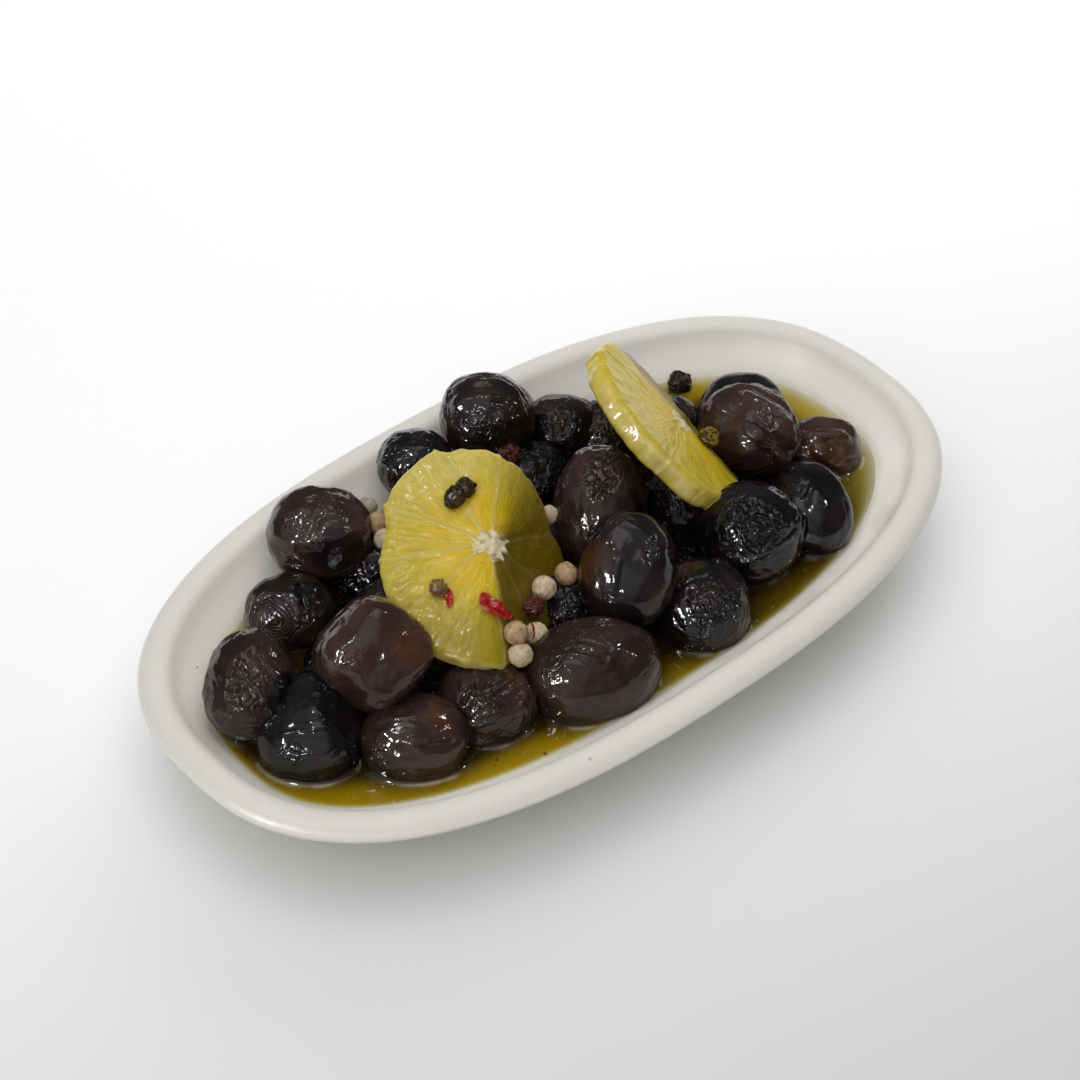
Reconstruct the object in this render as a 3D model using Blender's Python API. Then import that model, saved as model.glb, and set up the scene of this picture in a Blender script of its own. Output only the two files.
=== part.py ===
"""Oval dish of black olives in oil with two peeled lemon slices.

The frame is in metres with +Z up.
The origin is the middle of the foot ring's flat underside, +X runs along the dish.
Sizes below are in millimetres, and MM turns them into metres when a mesh is made.
"""

import math

import bmesh
import bpy
import numpy as np

MM = 0.001

# Dish
HALF_LENGTH = 100.0
HALF_WIDTH = 56.8
OUTLINE_POWER = 2.5
DISH_AROUND = 64
RIM_TOP = 23.0
FLOOR_TOP = 5.5
# Each pair is the inset from the widest outline and the height
UNDERSIDE = [(29.5, 1.6), (28.5, 0.0), (25.0, 0.0), (23.9, 1.2), (19.5, 4.2), (13.0, 9.0)]
OUTER_WALL = [(7.5, 14.2), (3.2, 17.5), (0.9, 18.9), (0.0, 20.3), (0.4, 21.5), (1.9, 22.6)]
RIM_ROLL = [(4.2, RIM_TOP), (6.2, 22.4), (7.6, 20.9)]
INNER_WALL = [(9.1, 18.6), (11.0, 16.2), (13.5, 13.5), (17.0, 9.5), (22.0, 6.6)]
FLOOR_EDGE = [(28.0, 5.6), (34.0, FLOOR_TOP)]

# Oil
OIL_LEVEL = 13.5
OIL_WALL = [(34.4, 5.85), (28.2, 5.95), (22.35, 6.95), (17.4, 9.85), (13.9, OIL_LEVEL)]

# Gap that every resting or cut piece keeps
GAP = 0.3
# Points that a Boolean leaves this near are made one
MERGE = 0.01

# Olives: middle x, y, z, then length, breadth, depth, yaw, tilt, roll, squareness, taper
OLIVE_SIDES = (11, 7)
FACET_GROWTH = 1.018
OLIVES = {
    "back_left": (-39.2, 34.6, 25.5, 24.0, 21.5, 20.0, -45, 0, 0, 2.2, 0.05),
    "left_upper": (-54.6, 26.2, 17.5, 19.5, 18.0, 17.0, -20, 0, 0, 2.2, 0.0),
    "left_end": (-75.6, 10.6, 21.3, 24.0, 19.5, 18.5, 50, 25, 0, 2.3, 0.06),
    "left_front": (-70.8, -4.1, 17.1, 26.0, 22.5, 19.5, 40, 10, 0, 2.2, 0.12),
    "left_top": (-54.2, -4.0, 28.0, 22.5, 21.5, 21.5, 5, 25, 45, 3.0, 0.0),
    "front_left": (-56.0, -20.3, 16.0, 23.5, 19.5, 19.0, -40, 0, 0, 2.2, 0.05),
    "front_middle": (-37.8, -21.7, 15.8, 21.0, 20.0, 19.0, 0, 0, 0, 2.2, 0.0),
    "front_long": (-16.2, -31.0, 18.7, 30.0, 23.0, 21.0, -23, 0, 0, 2.3, 0.05),
    "upper_front": (3.3, -19.8, 28.0, 26.0, 21.5, 21.0, 40, 45, 0, 2.2, 0.1),
    "upper_middle": (13.3, 0.8, 26.0, 28.0, 21.0, 21.0, 50, 40, 0, 2.2, 0.08),
    "inner_front": (-7.3, -12.0, 16.5, 20.0, 18.0, 18.0, 20, 0, 0, 2.2, 0.0),
    "front_right": (15.8, -30.5, 17.1, 23.4, 21.4, 19.5, 50, 0, 0, 2.2, 0.05),
    "right_crumpled": (36.4, -24.1, 22.0, 23.5, 23.0, 21.0, 10, 0, 0, 2.2, 0.0),
    "right_front": (55.0, -24.3, 17.7, 24.0, 18.5, 18.5, 60, 15, 0, 2.2, 0.08),
    "right_top": (60.0, 1.1, 22.0, 25.0, 20.5, 20.0, -80, 0, 0, 2.2, 0.05),
    "right_back": (67.6, 11.2, 15.9, 21.0, 20.0, 19.0, -40, 0, 0, 2.2, 0.0),
    "right_end": (73.2, -9.8, 15.6, 18.5, 15.5, 15.5, -40, 0, 0, 2.2, 0.0),
    "back_high": (12.4, 39.1, 27.6, 22.0, 21.0, 20.0, -40, 0, 0, 2.2, 0.05),
    "back_right": (29.1, 32.8, 17.9, 20.0, 17.0, 17.0, -30, 0, 0, 2.2, 0.0),
    "back_small": (-8.3, 39.8, 24.4, 17.5, 16.5, 16.5, -40, 0, 0, 2.2, 0.0),
    "inner_back": (37.3, 26.3, 15.5, 20.0, 17.0, 17.0, -30, 0, 0, 2.2, 0.0),
    "inner_left": (-30.2, 26.3, 15.5, 20.0, 18.0, 18.0, 0, 0, 0, 2.2, 0.0),
    "middle_back": (12.7, 24.4, 17.0, 20.0, 18.0, 18.0, 0, 0, 0, 2.2, 0.0),
    "inner_middle": (-9.0, 24.8, 17.6, 22.0, 19.5, 18.5, 15, 0, 0, 2.2, 0.05),
    "under_front": (-17.5, 9.5, 19.0, 22.0, 19.0, 18.0, 60, 0, 0, 2.2, 0.0),
    "under_left": (-38.0, 9.0, 17.5, 21.0, 19.0, 18.0, -30, 0, 0, 2.2, 0.0),
    "under_back": (49.0, 19.5, 15.6, 21.0, 18.0, 18.0, -60, 0, 0, 2.2, 0.05),
    "inner_right": (22.5, 12.0, 16.5, 20.0, 18.0, 18.0, 70, 0, 0, 2.2, 0.0),
    "middle_right": (34.4, -3.1, 15.8, 22.0, 19.0, 19.0, 0, 0, 0, 2.2, 0.0),
}

# Peppercorns on the olives: middle x, y, z, width
CORN_SIDES = (6, 4)
CORN_GROWTH = 1.08
OLIVE_CORNS = {
    "tan": (-6.9, -11.3, 27.0, 5.0),
    "pale_low": (-24.0, -25.4, 24.2, 4.4),
    "pale_middle": (1.7, 4.7, 27.8, 4.2),
    "pale_back_a": (-26.9, 33.6, 27.0, 4.6),
    "pale_back_b": (-28.4, 28.1, 27.0, 4.8),
    "pale_back_c": (-29.3, 24.1, 25.6, 4.8),
    "dark_back": (8.5, 26.8, 26.6, 4.9),
}
# Peppercorn afloat at the edge of the oil
OIL_CORN = (64.8, 30.3, 15.0, 5.6)

# Core under the olives: middle x, middle y, half length, half width, height
CORE = [
    (0.0, 2.0, 67.0, 26.5, 5.85),
    (0.0, 2.0, 68.0, 27.0, 8.0),
    (0.0, 3.0, 67.0, 27.0, 13.0),
    (0.0, 5.0, 58.0, 25.5, 16.5),
    (0.0, 7.0, 44.0, 20.0, 18.6),
    (0.0, 7.0, 26.0, 12.0, 19.6),
]
CORE_AROUND = 28

# Lemon slices: pith, two in-plane axes, thickness, bend on either side of the pith
SLICE_AROUND = 45
SLICE_STEP = 0.25
FRONT_SLICE = {
    "pith": (-21.7, -2.8, 38.0),
    "right": (0.760, -0.649, 0.0),
    "up": (0.573, 0.671, 0.469),
    "thick": 4.4,
    "bend": (8.0, -52.0),
    "fold": 9.0,
    # Membrane directions in degrees, with the radius there and in the middle of the next segment
    "segments": [
        (21.0, 20.6, 21.6), (85.5, 20.6, 22.4), (118.0, 24.8, 25.0), (156.5, 24.9, 22.6),
        (186.5, 23.6, 24.2), (222.0, 24.2, 27.0), (276.0, 27.4, 25.0), (307.0, 22.4, 23.4),
        (340.0, 23.8, 24.6),
    ],
}
BACK_SLICE = {
    "pith": (38.8, 5.0, 31.5),
    "right": (-0.664, -0.497, 0.557),
    "up": (0.166, -0.825, -0.539),
    "thick": 6.0,
    "bend": (5.5, -7.0),
    "fold": 8.0,
    "segments": [
        (12.0, 24.6, 25.2), (52.0, 23.4, 22.8), (88.0, 20.8, 21.4), (131.0, 21.6, 23.2),
        (170.0, 23.2, 24.0), (212.0, 23.4, 24.4), (249.0, 24.2, 25.2), (291.0, 25.6, 26.4),
        (330.0, 26.0, 26.2),
    ],
}
# Toppings on each slice: across and along from the pith, lift, length, breadth, depth, direction
FRONT_TOPPINGS = {
    "black_twin_a": (-6.8, 9.9, 1.5, 5.2, 4.7, 4.2, 40),
    "black_twin_b": (-4.1, 12.3, 1.4, 4.8, 4.5, 4.0, 40),
    "brown_small": (-10.0, -10.1, 1.3, 3.8, 3.6, 3.4, 20),
    "red_bit": (-7.7, -12.6, 0.4, 4.4, 1.7, 1.3, 84),
    "red_curl_a": (-0.6, -12.2, 0.4, 3.4, 1.8, 1.3, -62),
    "red_curl_b": (0.9, -14.6, 0.4, 3.2, 1.8, 1.3, -28),
    "red_curl_c": (3.2, -14.3, 0.4, 3.0, 1.8, 1.3, 48),
    "white_a": (13.2, -6.9, 1.9, 5.3, 5.2, 5.1, 10),
    "dark_red": (10.0, -11.7, 1.6, 4.6, 4.4, 4.2, 10),
    "white_b": (3.8, -19.2, 1.9, 5.2, 5.1, 5.0, 10),
    "white_c": (10.5, -17.8, 1.8, 5.2, 5.0, 4.9, 10),
    "white_d": (5.4, -23.6, 1.8, 5.2, 5.1, 5.0, 10),
}
BACK_TOPPINGS = {
    "green_yellow": (-3.2, 6.7, 1.6, 5.0, 4.6, 4.4, 10),
}


def clear_scene():
    """Removes the startup objects."""
    for obj in list(bpy.data.objects):
        bpy.data.objects.remove(obj, do_unlink=True)


def new_collection(name, helper=False):
    """A collection under the scene's own, out of the render when it holds helpers."""
    made = bpy.data.collections.new(name)
    bpy.context.scene.collection.children.link(made)
    made.hide_render = helper
    return made


def principled(name, colour, roughness, coat=0.0):
    """A plain Principled material."""
    made = bpy.data.materials.new(name)
    made.use_nodes = True
    node = made.node_tree.nodes["Principled BSDF"]
    node.inputs["Base Color"].default_value = (*colour, 1.0)
    node.inputs["Roughness"].default_value = roughness
    node.inputs["Coat Weight"].default_value = coat
    return made


def object_of(name, mesh, home):
    """Links a mesh as an object in a collection, with smooth faces."""
    mesh.shade_smooth()
    made = bpy.data.objects.new(name, mesh)
    home.objects.link(made)
    return made


def oval(half_length, half_width, z, around, middle=(0.0, 0.0)):
    """One ring of a superellipse at a height."""
    turn = np.linspace(0.0, 2.0 * np.pi, around, endpoint=False)
    c, s = np.cos(turn), np.sin(turn)
    reach = (np.abs(c) ** OUTLINE_POWER + np.abs(s) ** OUTLINE_POWER) ** (-1.0 / OUTLINE_POWER)
    x = middle[0] + half_length * reach * c
    y = middle[1] + half_width * reach * s
    return np.stack([x, y, np.full(around, z)], axis=1)


def loft(name, rings, first_cap, last_cap, home):
    """A closed body through rings of equal count, with a fan at each end."""
    mesh = bmesh.new()
    rows = [[mesh.verts.new(point * MM) for point in ring] for ring in rings]
    count = len(rows[0])
    for low, high in zip(rows, rows[1:]):
        for i in range(count):
            j = (i + 1) % count
            mesh.faces.new((low[i], low[j], high[j], high[i]))
    first = mesh.verts.new(np.asarray(first_cap) * MM)
    last = mesh.verts.new(np.asarray(last_cap) * MM)
    for i in range(count):
        j = (i + 1) % count
        mesh.faces.new((first, rows[0][j], rows[0][i]))
        mesh.faces.new((last, rows[-1][i], rows[-1][j]))
    bmesh.ops.recalc_face_normals(mesh, faces=mesh.faces)
    data = bpy.data.meshes.new(name)
    mesh.to_mesh(data)
    mesh.free()
    return object_of(name, data, home)


def inset_ring(inset, z):
    """The dish's outline drawn in by an inset."""
    return oval(HALF_LENGTH - inset, HALF_WIDTH - inset, z, DISH_AROUND)


def make_dish(home):
    """The glazed dish with its foot ring and rolled rim."""
    profile = UNDERSIDE + OUTER_WALL + RIM_ROLL + INNER_WALL + FLOOR_EDGE
    rings = [inset_ring(inset, z) for inset, z in profile]
    return loft("dish", rings, (0.0, 0.0, UNDERSIDE[0][1]), (0.0, 0.0, FLOOR_TOP), home)


def make_basin(home):
    """The oil's whole volume before the olives are taken out of it."""
    rings = [inset_ring(inset, z) for inset, z in OIL_WALL]
    return loft("basin", rings, (0.0, 0.0, OIL_WALL[0][1]), (0.0, 0.0, OIL_LEVEL), home)


def turned(yaw, tilt, roll):
    """Rotation matrix: roll about the length, tilt of the far end upwards, then yaw."""
    a, b, c = (math.radians(value) for value in (yaw, tilt, roll))
    about_z = [[math.cos(a), -math.sin(a), 0], [math.sin(a), math.cos(a), 0], [0, 0, 1]]
    about_y = [[math.cos(b), 0, -math.sin(b)], [0, 1, 0], [math.sin(b), 0, math.cos(b)]]
    about_x = [[1, 0, 0], [0, math.cos(c), -math.sin(c)], [0, math.sin(c), math.cos(c)]]
    return np.array(about_z) @ np.array(about_y) @ np.array(about_x)


def make_ball(name, middle, matrix, half, sides, home, power=2.0, taper=0.0):
    """A few-sided ball, made squarish by the power, stretched, tapered and turned."""
    ball = bmesh.new()
    bmesh.ops.create_uvsphere(ball, u_segments=sides[0], v_segments=sides[1], radius=1.0)
    for vert in ball.verts:
        unit = np.array([vert.co.z, vert.co.x, vert.co.y])
        unit = unit / (np.abs(unit) ** power).sum() ** (1.0 / power)
        unit[1:] = unit[1:] * (1.0 - taper * unit[0])
        vert.co = (matrix @ (unit * half) + np.asarray(middle)) * MM
    bmesh.ops.recalc_face_normals(ball, faces=ball.faces)
    data = bpy.data.meshes.new(name)
    ball.to_mesh(data)
    ball.free()
    return object_of(name, data, home)


def make_olive(name, row, grow, home):
    """One olive of the heap."""
    x, y, z, length, breadth, depth, yaw, tilt, roll, power, taper = row
    half = (np.array([length, breadth, depth]) / 2.0) * FACET_GROWTH + grow
    matrix = turned(yaw, tilt, roll)
    return make_ball(name, (x, y, z), matrix, half, OLIVE_SIDES, home, power, taper)


def make_corn(name, row, grow, home):
    """One peppercorn that lies on an olive or in the oil."""
    x, y, z, width = row
    half = np.full(3, width / 2.0 * CORN_GROWTH) + grow
    return make_ball(name, (x, y, z), turned(40, 30, 0), half, CORN_SIDES, home)


def make_core(grow, home):
    """The mound that carries the olives, below what shows of them."""
    rings = []
    for x, y, half_length, half_width, z in CORE:
        height = z + (grow if z > CORE[0][4] else -grow)
        rings.append(oval(half_length + grow, half_width + grow, height, CORE_AROUND, (x, y)))
    low = (CORE[0][0], CORE[0][1], CORE[0][4] - grow)
    high = (CORE[-1][0], CORE[-1][1], CORE[-1][4] + 0.6 + grow)
    return loft("core", rings, low, high, home)


def outline_radius(segments, degrees):
    """Radius of a slice's scalloped outline in a direction."""
    angles, radii = [], []
    for k, (angle, at_membrane, at_middle) in enumerate(segments):
        following = segments[(k + 1) % len(segments)]
        end = following[0] + (360.0 if k == len(segments) - 1 else 0.0)
        span = end - angle
        for share, radius in (
            (0.0, at_membrane),
            (0.22, 0.35 * at_membrane + 0.65 * at_middle),
            (0.5, at_middle),
            (0.78, 0.35 * following[1] + 0.65 * at_middle),
        ):
            angles.append(angle + share * span)
            radii.append(radius)
    return np.interp(degrees, angles, radii, period=360.0)


def bent(across, bend, fold):
    """Distance along the slice turned into a place and a drop, by adding up short steps."""
    reach = 40.0
    steps = np.arange(-reach, reach + SLICE_STEP, SLICE_STEP)
    share = np.clip(steps / fold + 0.5, 0.0, 1.0)
    share = share * share * (3.0 - 2.0 * share)
    slope = np.radians(bend[0] + (bend[1] - bend[0]) * share)
    place = np.cumsum(np.cos(slope)) * SLICE_STEP
    drop = np.cumsum(np.sin(slope)) * SLICE_STEP
    middle = len(steps) // 2
    place, drop = place - place[middle], drop - drop[middle]
    lean = np.interp(across, steps, slope)
    return np.interp(across, steps, place), np.interp(across, steps, drop), lean


def make_slice(name, row, grow, home):
    """A peeled lemon slice: a scalloped disc with soft edges, bent over a fold."""
    right, up = np.array(row["right"]), np.array(row["up"])
    normal = np.cross(right, up)
    half = row["thick"] / 2.0 + grow
    degrees = np.arange(SLICE_AROUND) * 360.0 / SLICE_AROUND
    radius = outline_radius(row["segments"], degrees) + grow
    turn = np.radians(degrees)
    rings = []
    for share, height in (
        (0.40, 1.0), (0.80, 1.0), (0.955, 0.92), (1.0, 0.45),
        (1.0, -0.45), (0.955, -0.92), (0.80, -1.0), (0.40, -1.0),
    ):
        across = radius * share * np.cos(turn)
        along = radius * share * np.sin(turn)
        place, drop, lean = bent(across, row["bend"], row["fold"])
        place = place - np.sin(lean) * height * half
        out = drop + np.cos(lean) * height * half
        ring = np.array(row["pith"]) + np.outer(place, right)
        rings.append(ring + np.outer(along, up) + np.outer(out, normal))
    first = np.array(row["pith"]) + normal * half
    last = np.array(row["pith"]) - normal * half
    return loft(name, rings, first, last, home)


def on_slice(row, across, along, lift):
    """A point over the slice's upper face, with the face's own three axes there."""
    right, up = np.array(row["right"]), np.array(row["up"])
    normal = np.cross(right, up)
    place, drop, lean = bent(across, row["bend"], row["fold"])
    sideways = math.cos(lean) * right + math.sin(lean) * normal
    outward = math.cos(lean) * normal - math.sin(lean) * right
    point = np.array(row["pith"]) + place * right + drop * normal + along * up
    point = point + outward * (row["thick"] / 2.0 + lift)
    return point, np.stack([sideways, up, outward], axis=1)


def make_topping(name, row, topping, grow, home):
    """A peppercorn or a flake lying on a slice, turned in the plane of its face."""
    across, along, lift, length, breadth, depth, direction = topping
    middle, axes = on_slice(row, across, along, lift)
    half = np.array([length, breadth, depth]) / 2.0 * CORN_GROWTH + grow
    return make_ball(name, middle, axes @ turned(direction, 0, 0), half, CORN_SIDES, home)


def slice_pieces(row, toppings, grow):
    """A slice and its toppings as separate closed pieces in a helper collection."""
    pieces = new_collection("slice pieces", helper=True)
    make_slice("slice", row, grow, pieces)
    for name, topping in toppings.items():
        make_topping(name, row, topping, grow, pieces)
    return pieces


def union_of(name, pieces, home):
    """Joins a collection's objects in one Boolean, applies it and removes them."""
    base = pieces.objects[0]
    base.name = name
    pieces.objects.unlink(base)
    home.objects.link(base)
    return apply_boolean(base, "UNION", pieces)


def apply_boolean(target, operation, pieces, solver="EXACT"):
    """Applies a Boolean with every object of a collection, then removes those."""
    step = target.modifiers.new("join", "BOOLEAN")
    step.operation = operation
    step.solver = solver
    step.operand_type = "COLLECTION"
    step.collection = pieces
    bpy.context.view_layer.update()
    graph = bpy.context.evaluated_depsgraph_get()
    data = bpy.data.meshes.new_from_object(target.evaluated_get(graph))
    target.modifiers.clear()
    target.data = data
    for obj in list(pieces.objects):
        bpy.data.objects.remove(obj, do_unlink=True)
    bpy.data.collections.remove(pieces)
    return target


def keep_largest(obj):
    """Drops the loose scraps that a Boolean leaves, and shades the rest smooth."""
    mesh = bmesh.new()
    mesh.from_mesh(obj.data)
    bmesh.ops.remove_doubles(mesh, verts=mesh.verts, dist=MERGE * MM)
    bmesh.ops.dissolve_degenerate(mesh, edges=mesh.edges, dist=MERGE * MM)
    mesh.faces.ensure_lookup_table()
    seen, bodies = set(), []
    for face in mesh.faces:
        if face in seen:
            continue
        body, stack = [], [face]
        seen.add(face)
        while stack:
            here = stack.pop()
            body.append(here)
            for edge in here.edges:
                for other in edge.link_faces:
                    if other not in seen:
                        seen.add(other)
                        stack.append(other)
        bodies.append(body)
    bodies.sort(key=len)
    for body in bodies[:-1]:
        bmesh.ops.delete(mesh, geom=body, context="FACES")
    loose = [vert for vert in mesh.verts if not vert.link_faces]
    bmesh.ops.delete(mesh, geom=loose, context="VERTS")
    mesh.to_mesh(obj.data)
    mesh.free()
    obj.data.shade_smooth()


def heap_pieces(grow):
    """Core and olives as separate closed pieces in a helper collection."""
    pieces = new_collection("heap pieces", helper=True)
    make_core(grow, pieces)
    for name, row in OLIVES.items():
        make_olive(name, row, grow, pieces)
    for name, row in OLIVE_CORNS.items():
        make_corn(name, row, grow, pieces)
    return pieces


def make_heap(home):
    """Core and olives in one body, clear of the lemon slices that lie on them."""
    heap = union_of("olive_heap", heap_pieces(0.0), home)
    cutters = new_collection("slice cutters", helper=True)
    union_of("front cutter", slice_pieces(FRONT_SLICE, FRONT_TOPPINGS, GAP), cutters)
    union_of("back cutter", slice_pieces(BACK_SLICE, BACK_TOPPINGS, GAP), cutters)
    apply_boolean(heap, "DIFFERENCE", cutters)
    keep_largest(heap)
    return heap


def main():
    clear_scene()
    glaze = principled("cream_glaze", (0.78, 0.75, 0.69), 0.18, 0.4)
    oil_body = principled("olive_oil", (0.30, 0.24, 0.01), 0.05)
    olive_skin = principled("olive_skin", (0.022, 0.012, 0.011), 0.25)
    lemon = principled("lemon_flesh", (0.72, 0.55, 0.05), 0.35)
    home = new_collection("dish of olives")

    dish = make_dish(home)
    dish.data.materials.append(glaze)

    heap = make_heap(home)
    heap.data.materials.clear()
    heap.data.materials.append(olive_skin)

    basin = new_collection("oil pieces", helper=True)
    make_basin(basin)
    make_corn("black_corn", OIL_CORN, 0.0, basin)
    oil = union_of("oil", basin, home)
    cutters = new_collection("oil cutters", helper=True)
    union_of("heap cutter", heap_pieces(GAP), cutters)
    apply_boolean(oil, "DIFFERENCE", cutters)
    keep_largest(oil)
    oil.data.materials.clear()
    oil.data.materials.append(oil_body)

    for name, row, toppings in (
        ("lemon_slice_front", FRONT_SLICE, FRONT_TOPPINGS),
        ("lemon_slice_back", BACK_SLICE, BACK_TOPPINGS),
    ):
        made = union_of(name, slice_pieces(row, toppings, 0.0), home)
        keep_largest(made)
        made.data.materials.clear()
        made.data.materials.append(lemon)


main()
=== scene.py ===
"""Looks of the oval dish of black olives in oil with two peeled lemon slices.

Lengths are in millimetres until a mesh is made, and MM turns them into metres.
Every surface is worked out with numpy as rows and columns of points.
"""

import math

import bpy
import numpy as np
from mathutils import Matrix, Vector


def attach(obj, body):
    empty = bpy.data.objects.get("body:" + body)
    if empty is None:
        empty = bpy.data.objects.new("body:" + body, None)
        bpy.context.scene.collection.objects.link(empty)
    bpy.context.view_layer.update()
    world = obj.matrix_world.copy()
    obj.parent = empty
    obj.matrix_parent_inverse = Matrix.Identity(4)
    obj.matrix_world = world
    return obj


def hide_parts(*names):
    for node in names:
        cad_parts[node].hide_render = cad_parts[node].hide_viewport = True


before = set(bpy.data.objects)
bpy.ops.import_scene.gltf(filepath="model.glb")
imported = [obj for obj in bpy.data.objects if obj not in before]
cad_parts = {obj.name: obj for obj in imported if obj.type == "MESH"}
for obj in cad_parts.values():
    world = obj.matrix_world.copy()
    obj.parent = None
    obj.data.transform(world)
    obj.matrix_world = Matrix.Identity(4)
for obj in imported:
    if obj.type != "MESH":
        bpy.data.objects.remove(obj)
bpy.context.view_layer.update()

MM = 0.001

# Dish, as in the solids
HALF_LENGTH, HALF_WIDTH, OUTLINE_POWER = 100.0, 56.8, 2.5
OIL_LEVEL = 13.5
PROFILE = [
    (29.5, 1.6), (28.5, 0.0), (25.0, 0.0), (23.9, 1.2), (19.5, 4.2), (13.0, 9.0),
    (7.5, 14.2), (3.2, 17.5), (0.9, 18.9), (0.0, 20.3), (0.4, 21.5), (1.9, 22.6),
    (4.2, 23.0), (6.2, 22.4), (7.6, 20.9), (9.1, 18.6), (11.0, 16.2), (13.5, 13.5),
    (17.0, 9.5), (22.0, 6.6), (28.0, 5.6), (34.0, 5.5),
]
INNER_WALL = PROFILE[12:] + [(56.0, 5.5)]
# Inset of the inner wall at the oil's level, and of the last points kept behind it
WALL_AT_OIL, POOL_EDGE = 13.4, 12.2
# Distance between the points of the pool
POOL_STEP = 0.34
# Turn of the fine ribs' sine per metre, which is about one rib each 1.05 mm
RIB_TURN = 5980.0
# The dish's mesh has its outer side in the rows up to this one
LAST_OUTER_ROW = 70

# Olives: middle x, y, z, then length, breadth, depth, yaw, tilt, roll, squareness, taper
OLIVES = {
    "back_left": (-39.2, 34.6, 25.5, 24.0, 21.5, 20.0, -45, 0, 0, 2.2, 0.05),
    "left_upper": (-54.6, 26.2, 17.5, 19.5, 18.0, 17.0, -20, 0, 0, 2.2, 0.0),
    "left_end": (-75.6, 10.6, 21.3, 24.0, 19.5, 18.5, 50, 25, 0, 2.3, 0.06),
    "left_front": (-70.8, -4.1, 17.1, 26.0, 22.5, 19.5, 40, 10, 0, 2.2, 0.12),
    "left_top": (-54.2, -4.0, 28.0, 22.5, 21.5, 21.5, 5, 25, 45, 3.0, 0.0),
    "front_left": (-56.0, -20.3, 16.0, 23.5, 19.5, 19.0, -40, 0, 0, 2.2, 0.05),
    "front_middle": (-37.8, -21.7, 15.8, 21.0, 20.0, 19.0, 0, 0, 0, 2.2, 0.0),
    "front_long": (-16.2, -31.0, 18.7, 30.0, 23.0, 21.0, -23, 0, 0, 2.3, 0.05),
    "upper_front": (3.3, -19.8, 28.0, 26.0, 21.5, 21.0, 40, 45, 0, 2.2, 0.1),
    "upper_middle": (13.3, 0.8, 26.0, 28.0, 21.0, 21.0, 50, 40, 0, 2.2, 0.08),
    "inner_front": (-7.3, -12.0, 16.5, 20.0, 18.0, 18.0, 20, 0, 0, 2.2, 0.0),
    "front_right": (15.8, -30.5, 17.1, 23.4, 21.4, 19.5, 50, 0, 0, 2.2, 0.05),
    "right_crumpled": (36.4, -24.1, 22.0, 23.5, 23.0, 21.0, 10, 0, 0, 2.2, 0.0),
    "right_front": (55.0, -24.3, 17.7, 24.0, 18.5, 18.5, 60, 15, 0, 2.2, 0.08),
    "right_top": (60.0, 1.1, 22.0, 25.0, 20.5, 20.0, -80, 0, 0, 2.2, 0.05),
    "right_back": (67.6, 11.2, 15.9, 21.0, 20.0, 19.0, -40, 0, 0, 2.2, 0.0),
    "right_end": (73.2, -9.8, 15.6, 18.5, 15.5, 15.5, -40, 0, 0, 2.2, 0.0),
    "back_high": (12.4, 39.1, 27.6, 22.0, 21.0, 20.0, -40, 0, 0, 2.2, 0.05),
    "back_right": (29.1, 32.8, 17.9, 20.0, 17.0, 17.0, -30, 0, 0, 2.2, 0.0),
    "back_small": (-8.3, 39.8, 24.4, 17.5, 16.5, 16.5, -40, 0, 0, 2.2, 0.0),
    "inner_back": (37.3, 26.3, 15.5, 20.0, 17.0, 17.0, -30, 0, 0, 2.2, 0.0),
    "inner_left": (-30.2, 26.3, 15.5, 20.0, 18.0, 18.0, 0, 0, 0, 2.2, 0.0),
    "middle_back": (12.7, 24.4, 17.0, 20.0, 18.0, 18.0, 0, 0, 0, 2.2, 0.0),
    "inner_middle": (-9.0, 24.8, 17.6, 22.0, 19.5, 18.5, 15, 0, 0, 2.2, 0.05),
    "under_front": (-17.5, 9.5, 19.0, 22.0, 19.0, 18.0, 60, 0, 0, 2.2, 0.0),
    "under_left": (-38.0, 9.0, 17.5, 21.0, 19.0, 18.0, -30, 0, 0, 2.2, 0.0),
    "under_back": (49.0, 19.5, 15.6, 21.0, 18.0, 18.0, -60, 0, 0, 2.2, 0.05),
    "inner_right": (22.5, 12.0, 16.5, 20.0, 18.0, 18.0, 70, 0, 0, 2.2, 0.0),
    "middle_right": (34.4, -3.1, 15.8, 22.0, 19.0, 19.0, 0, 0, 0, 2.2, 0.0),
}

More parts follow.
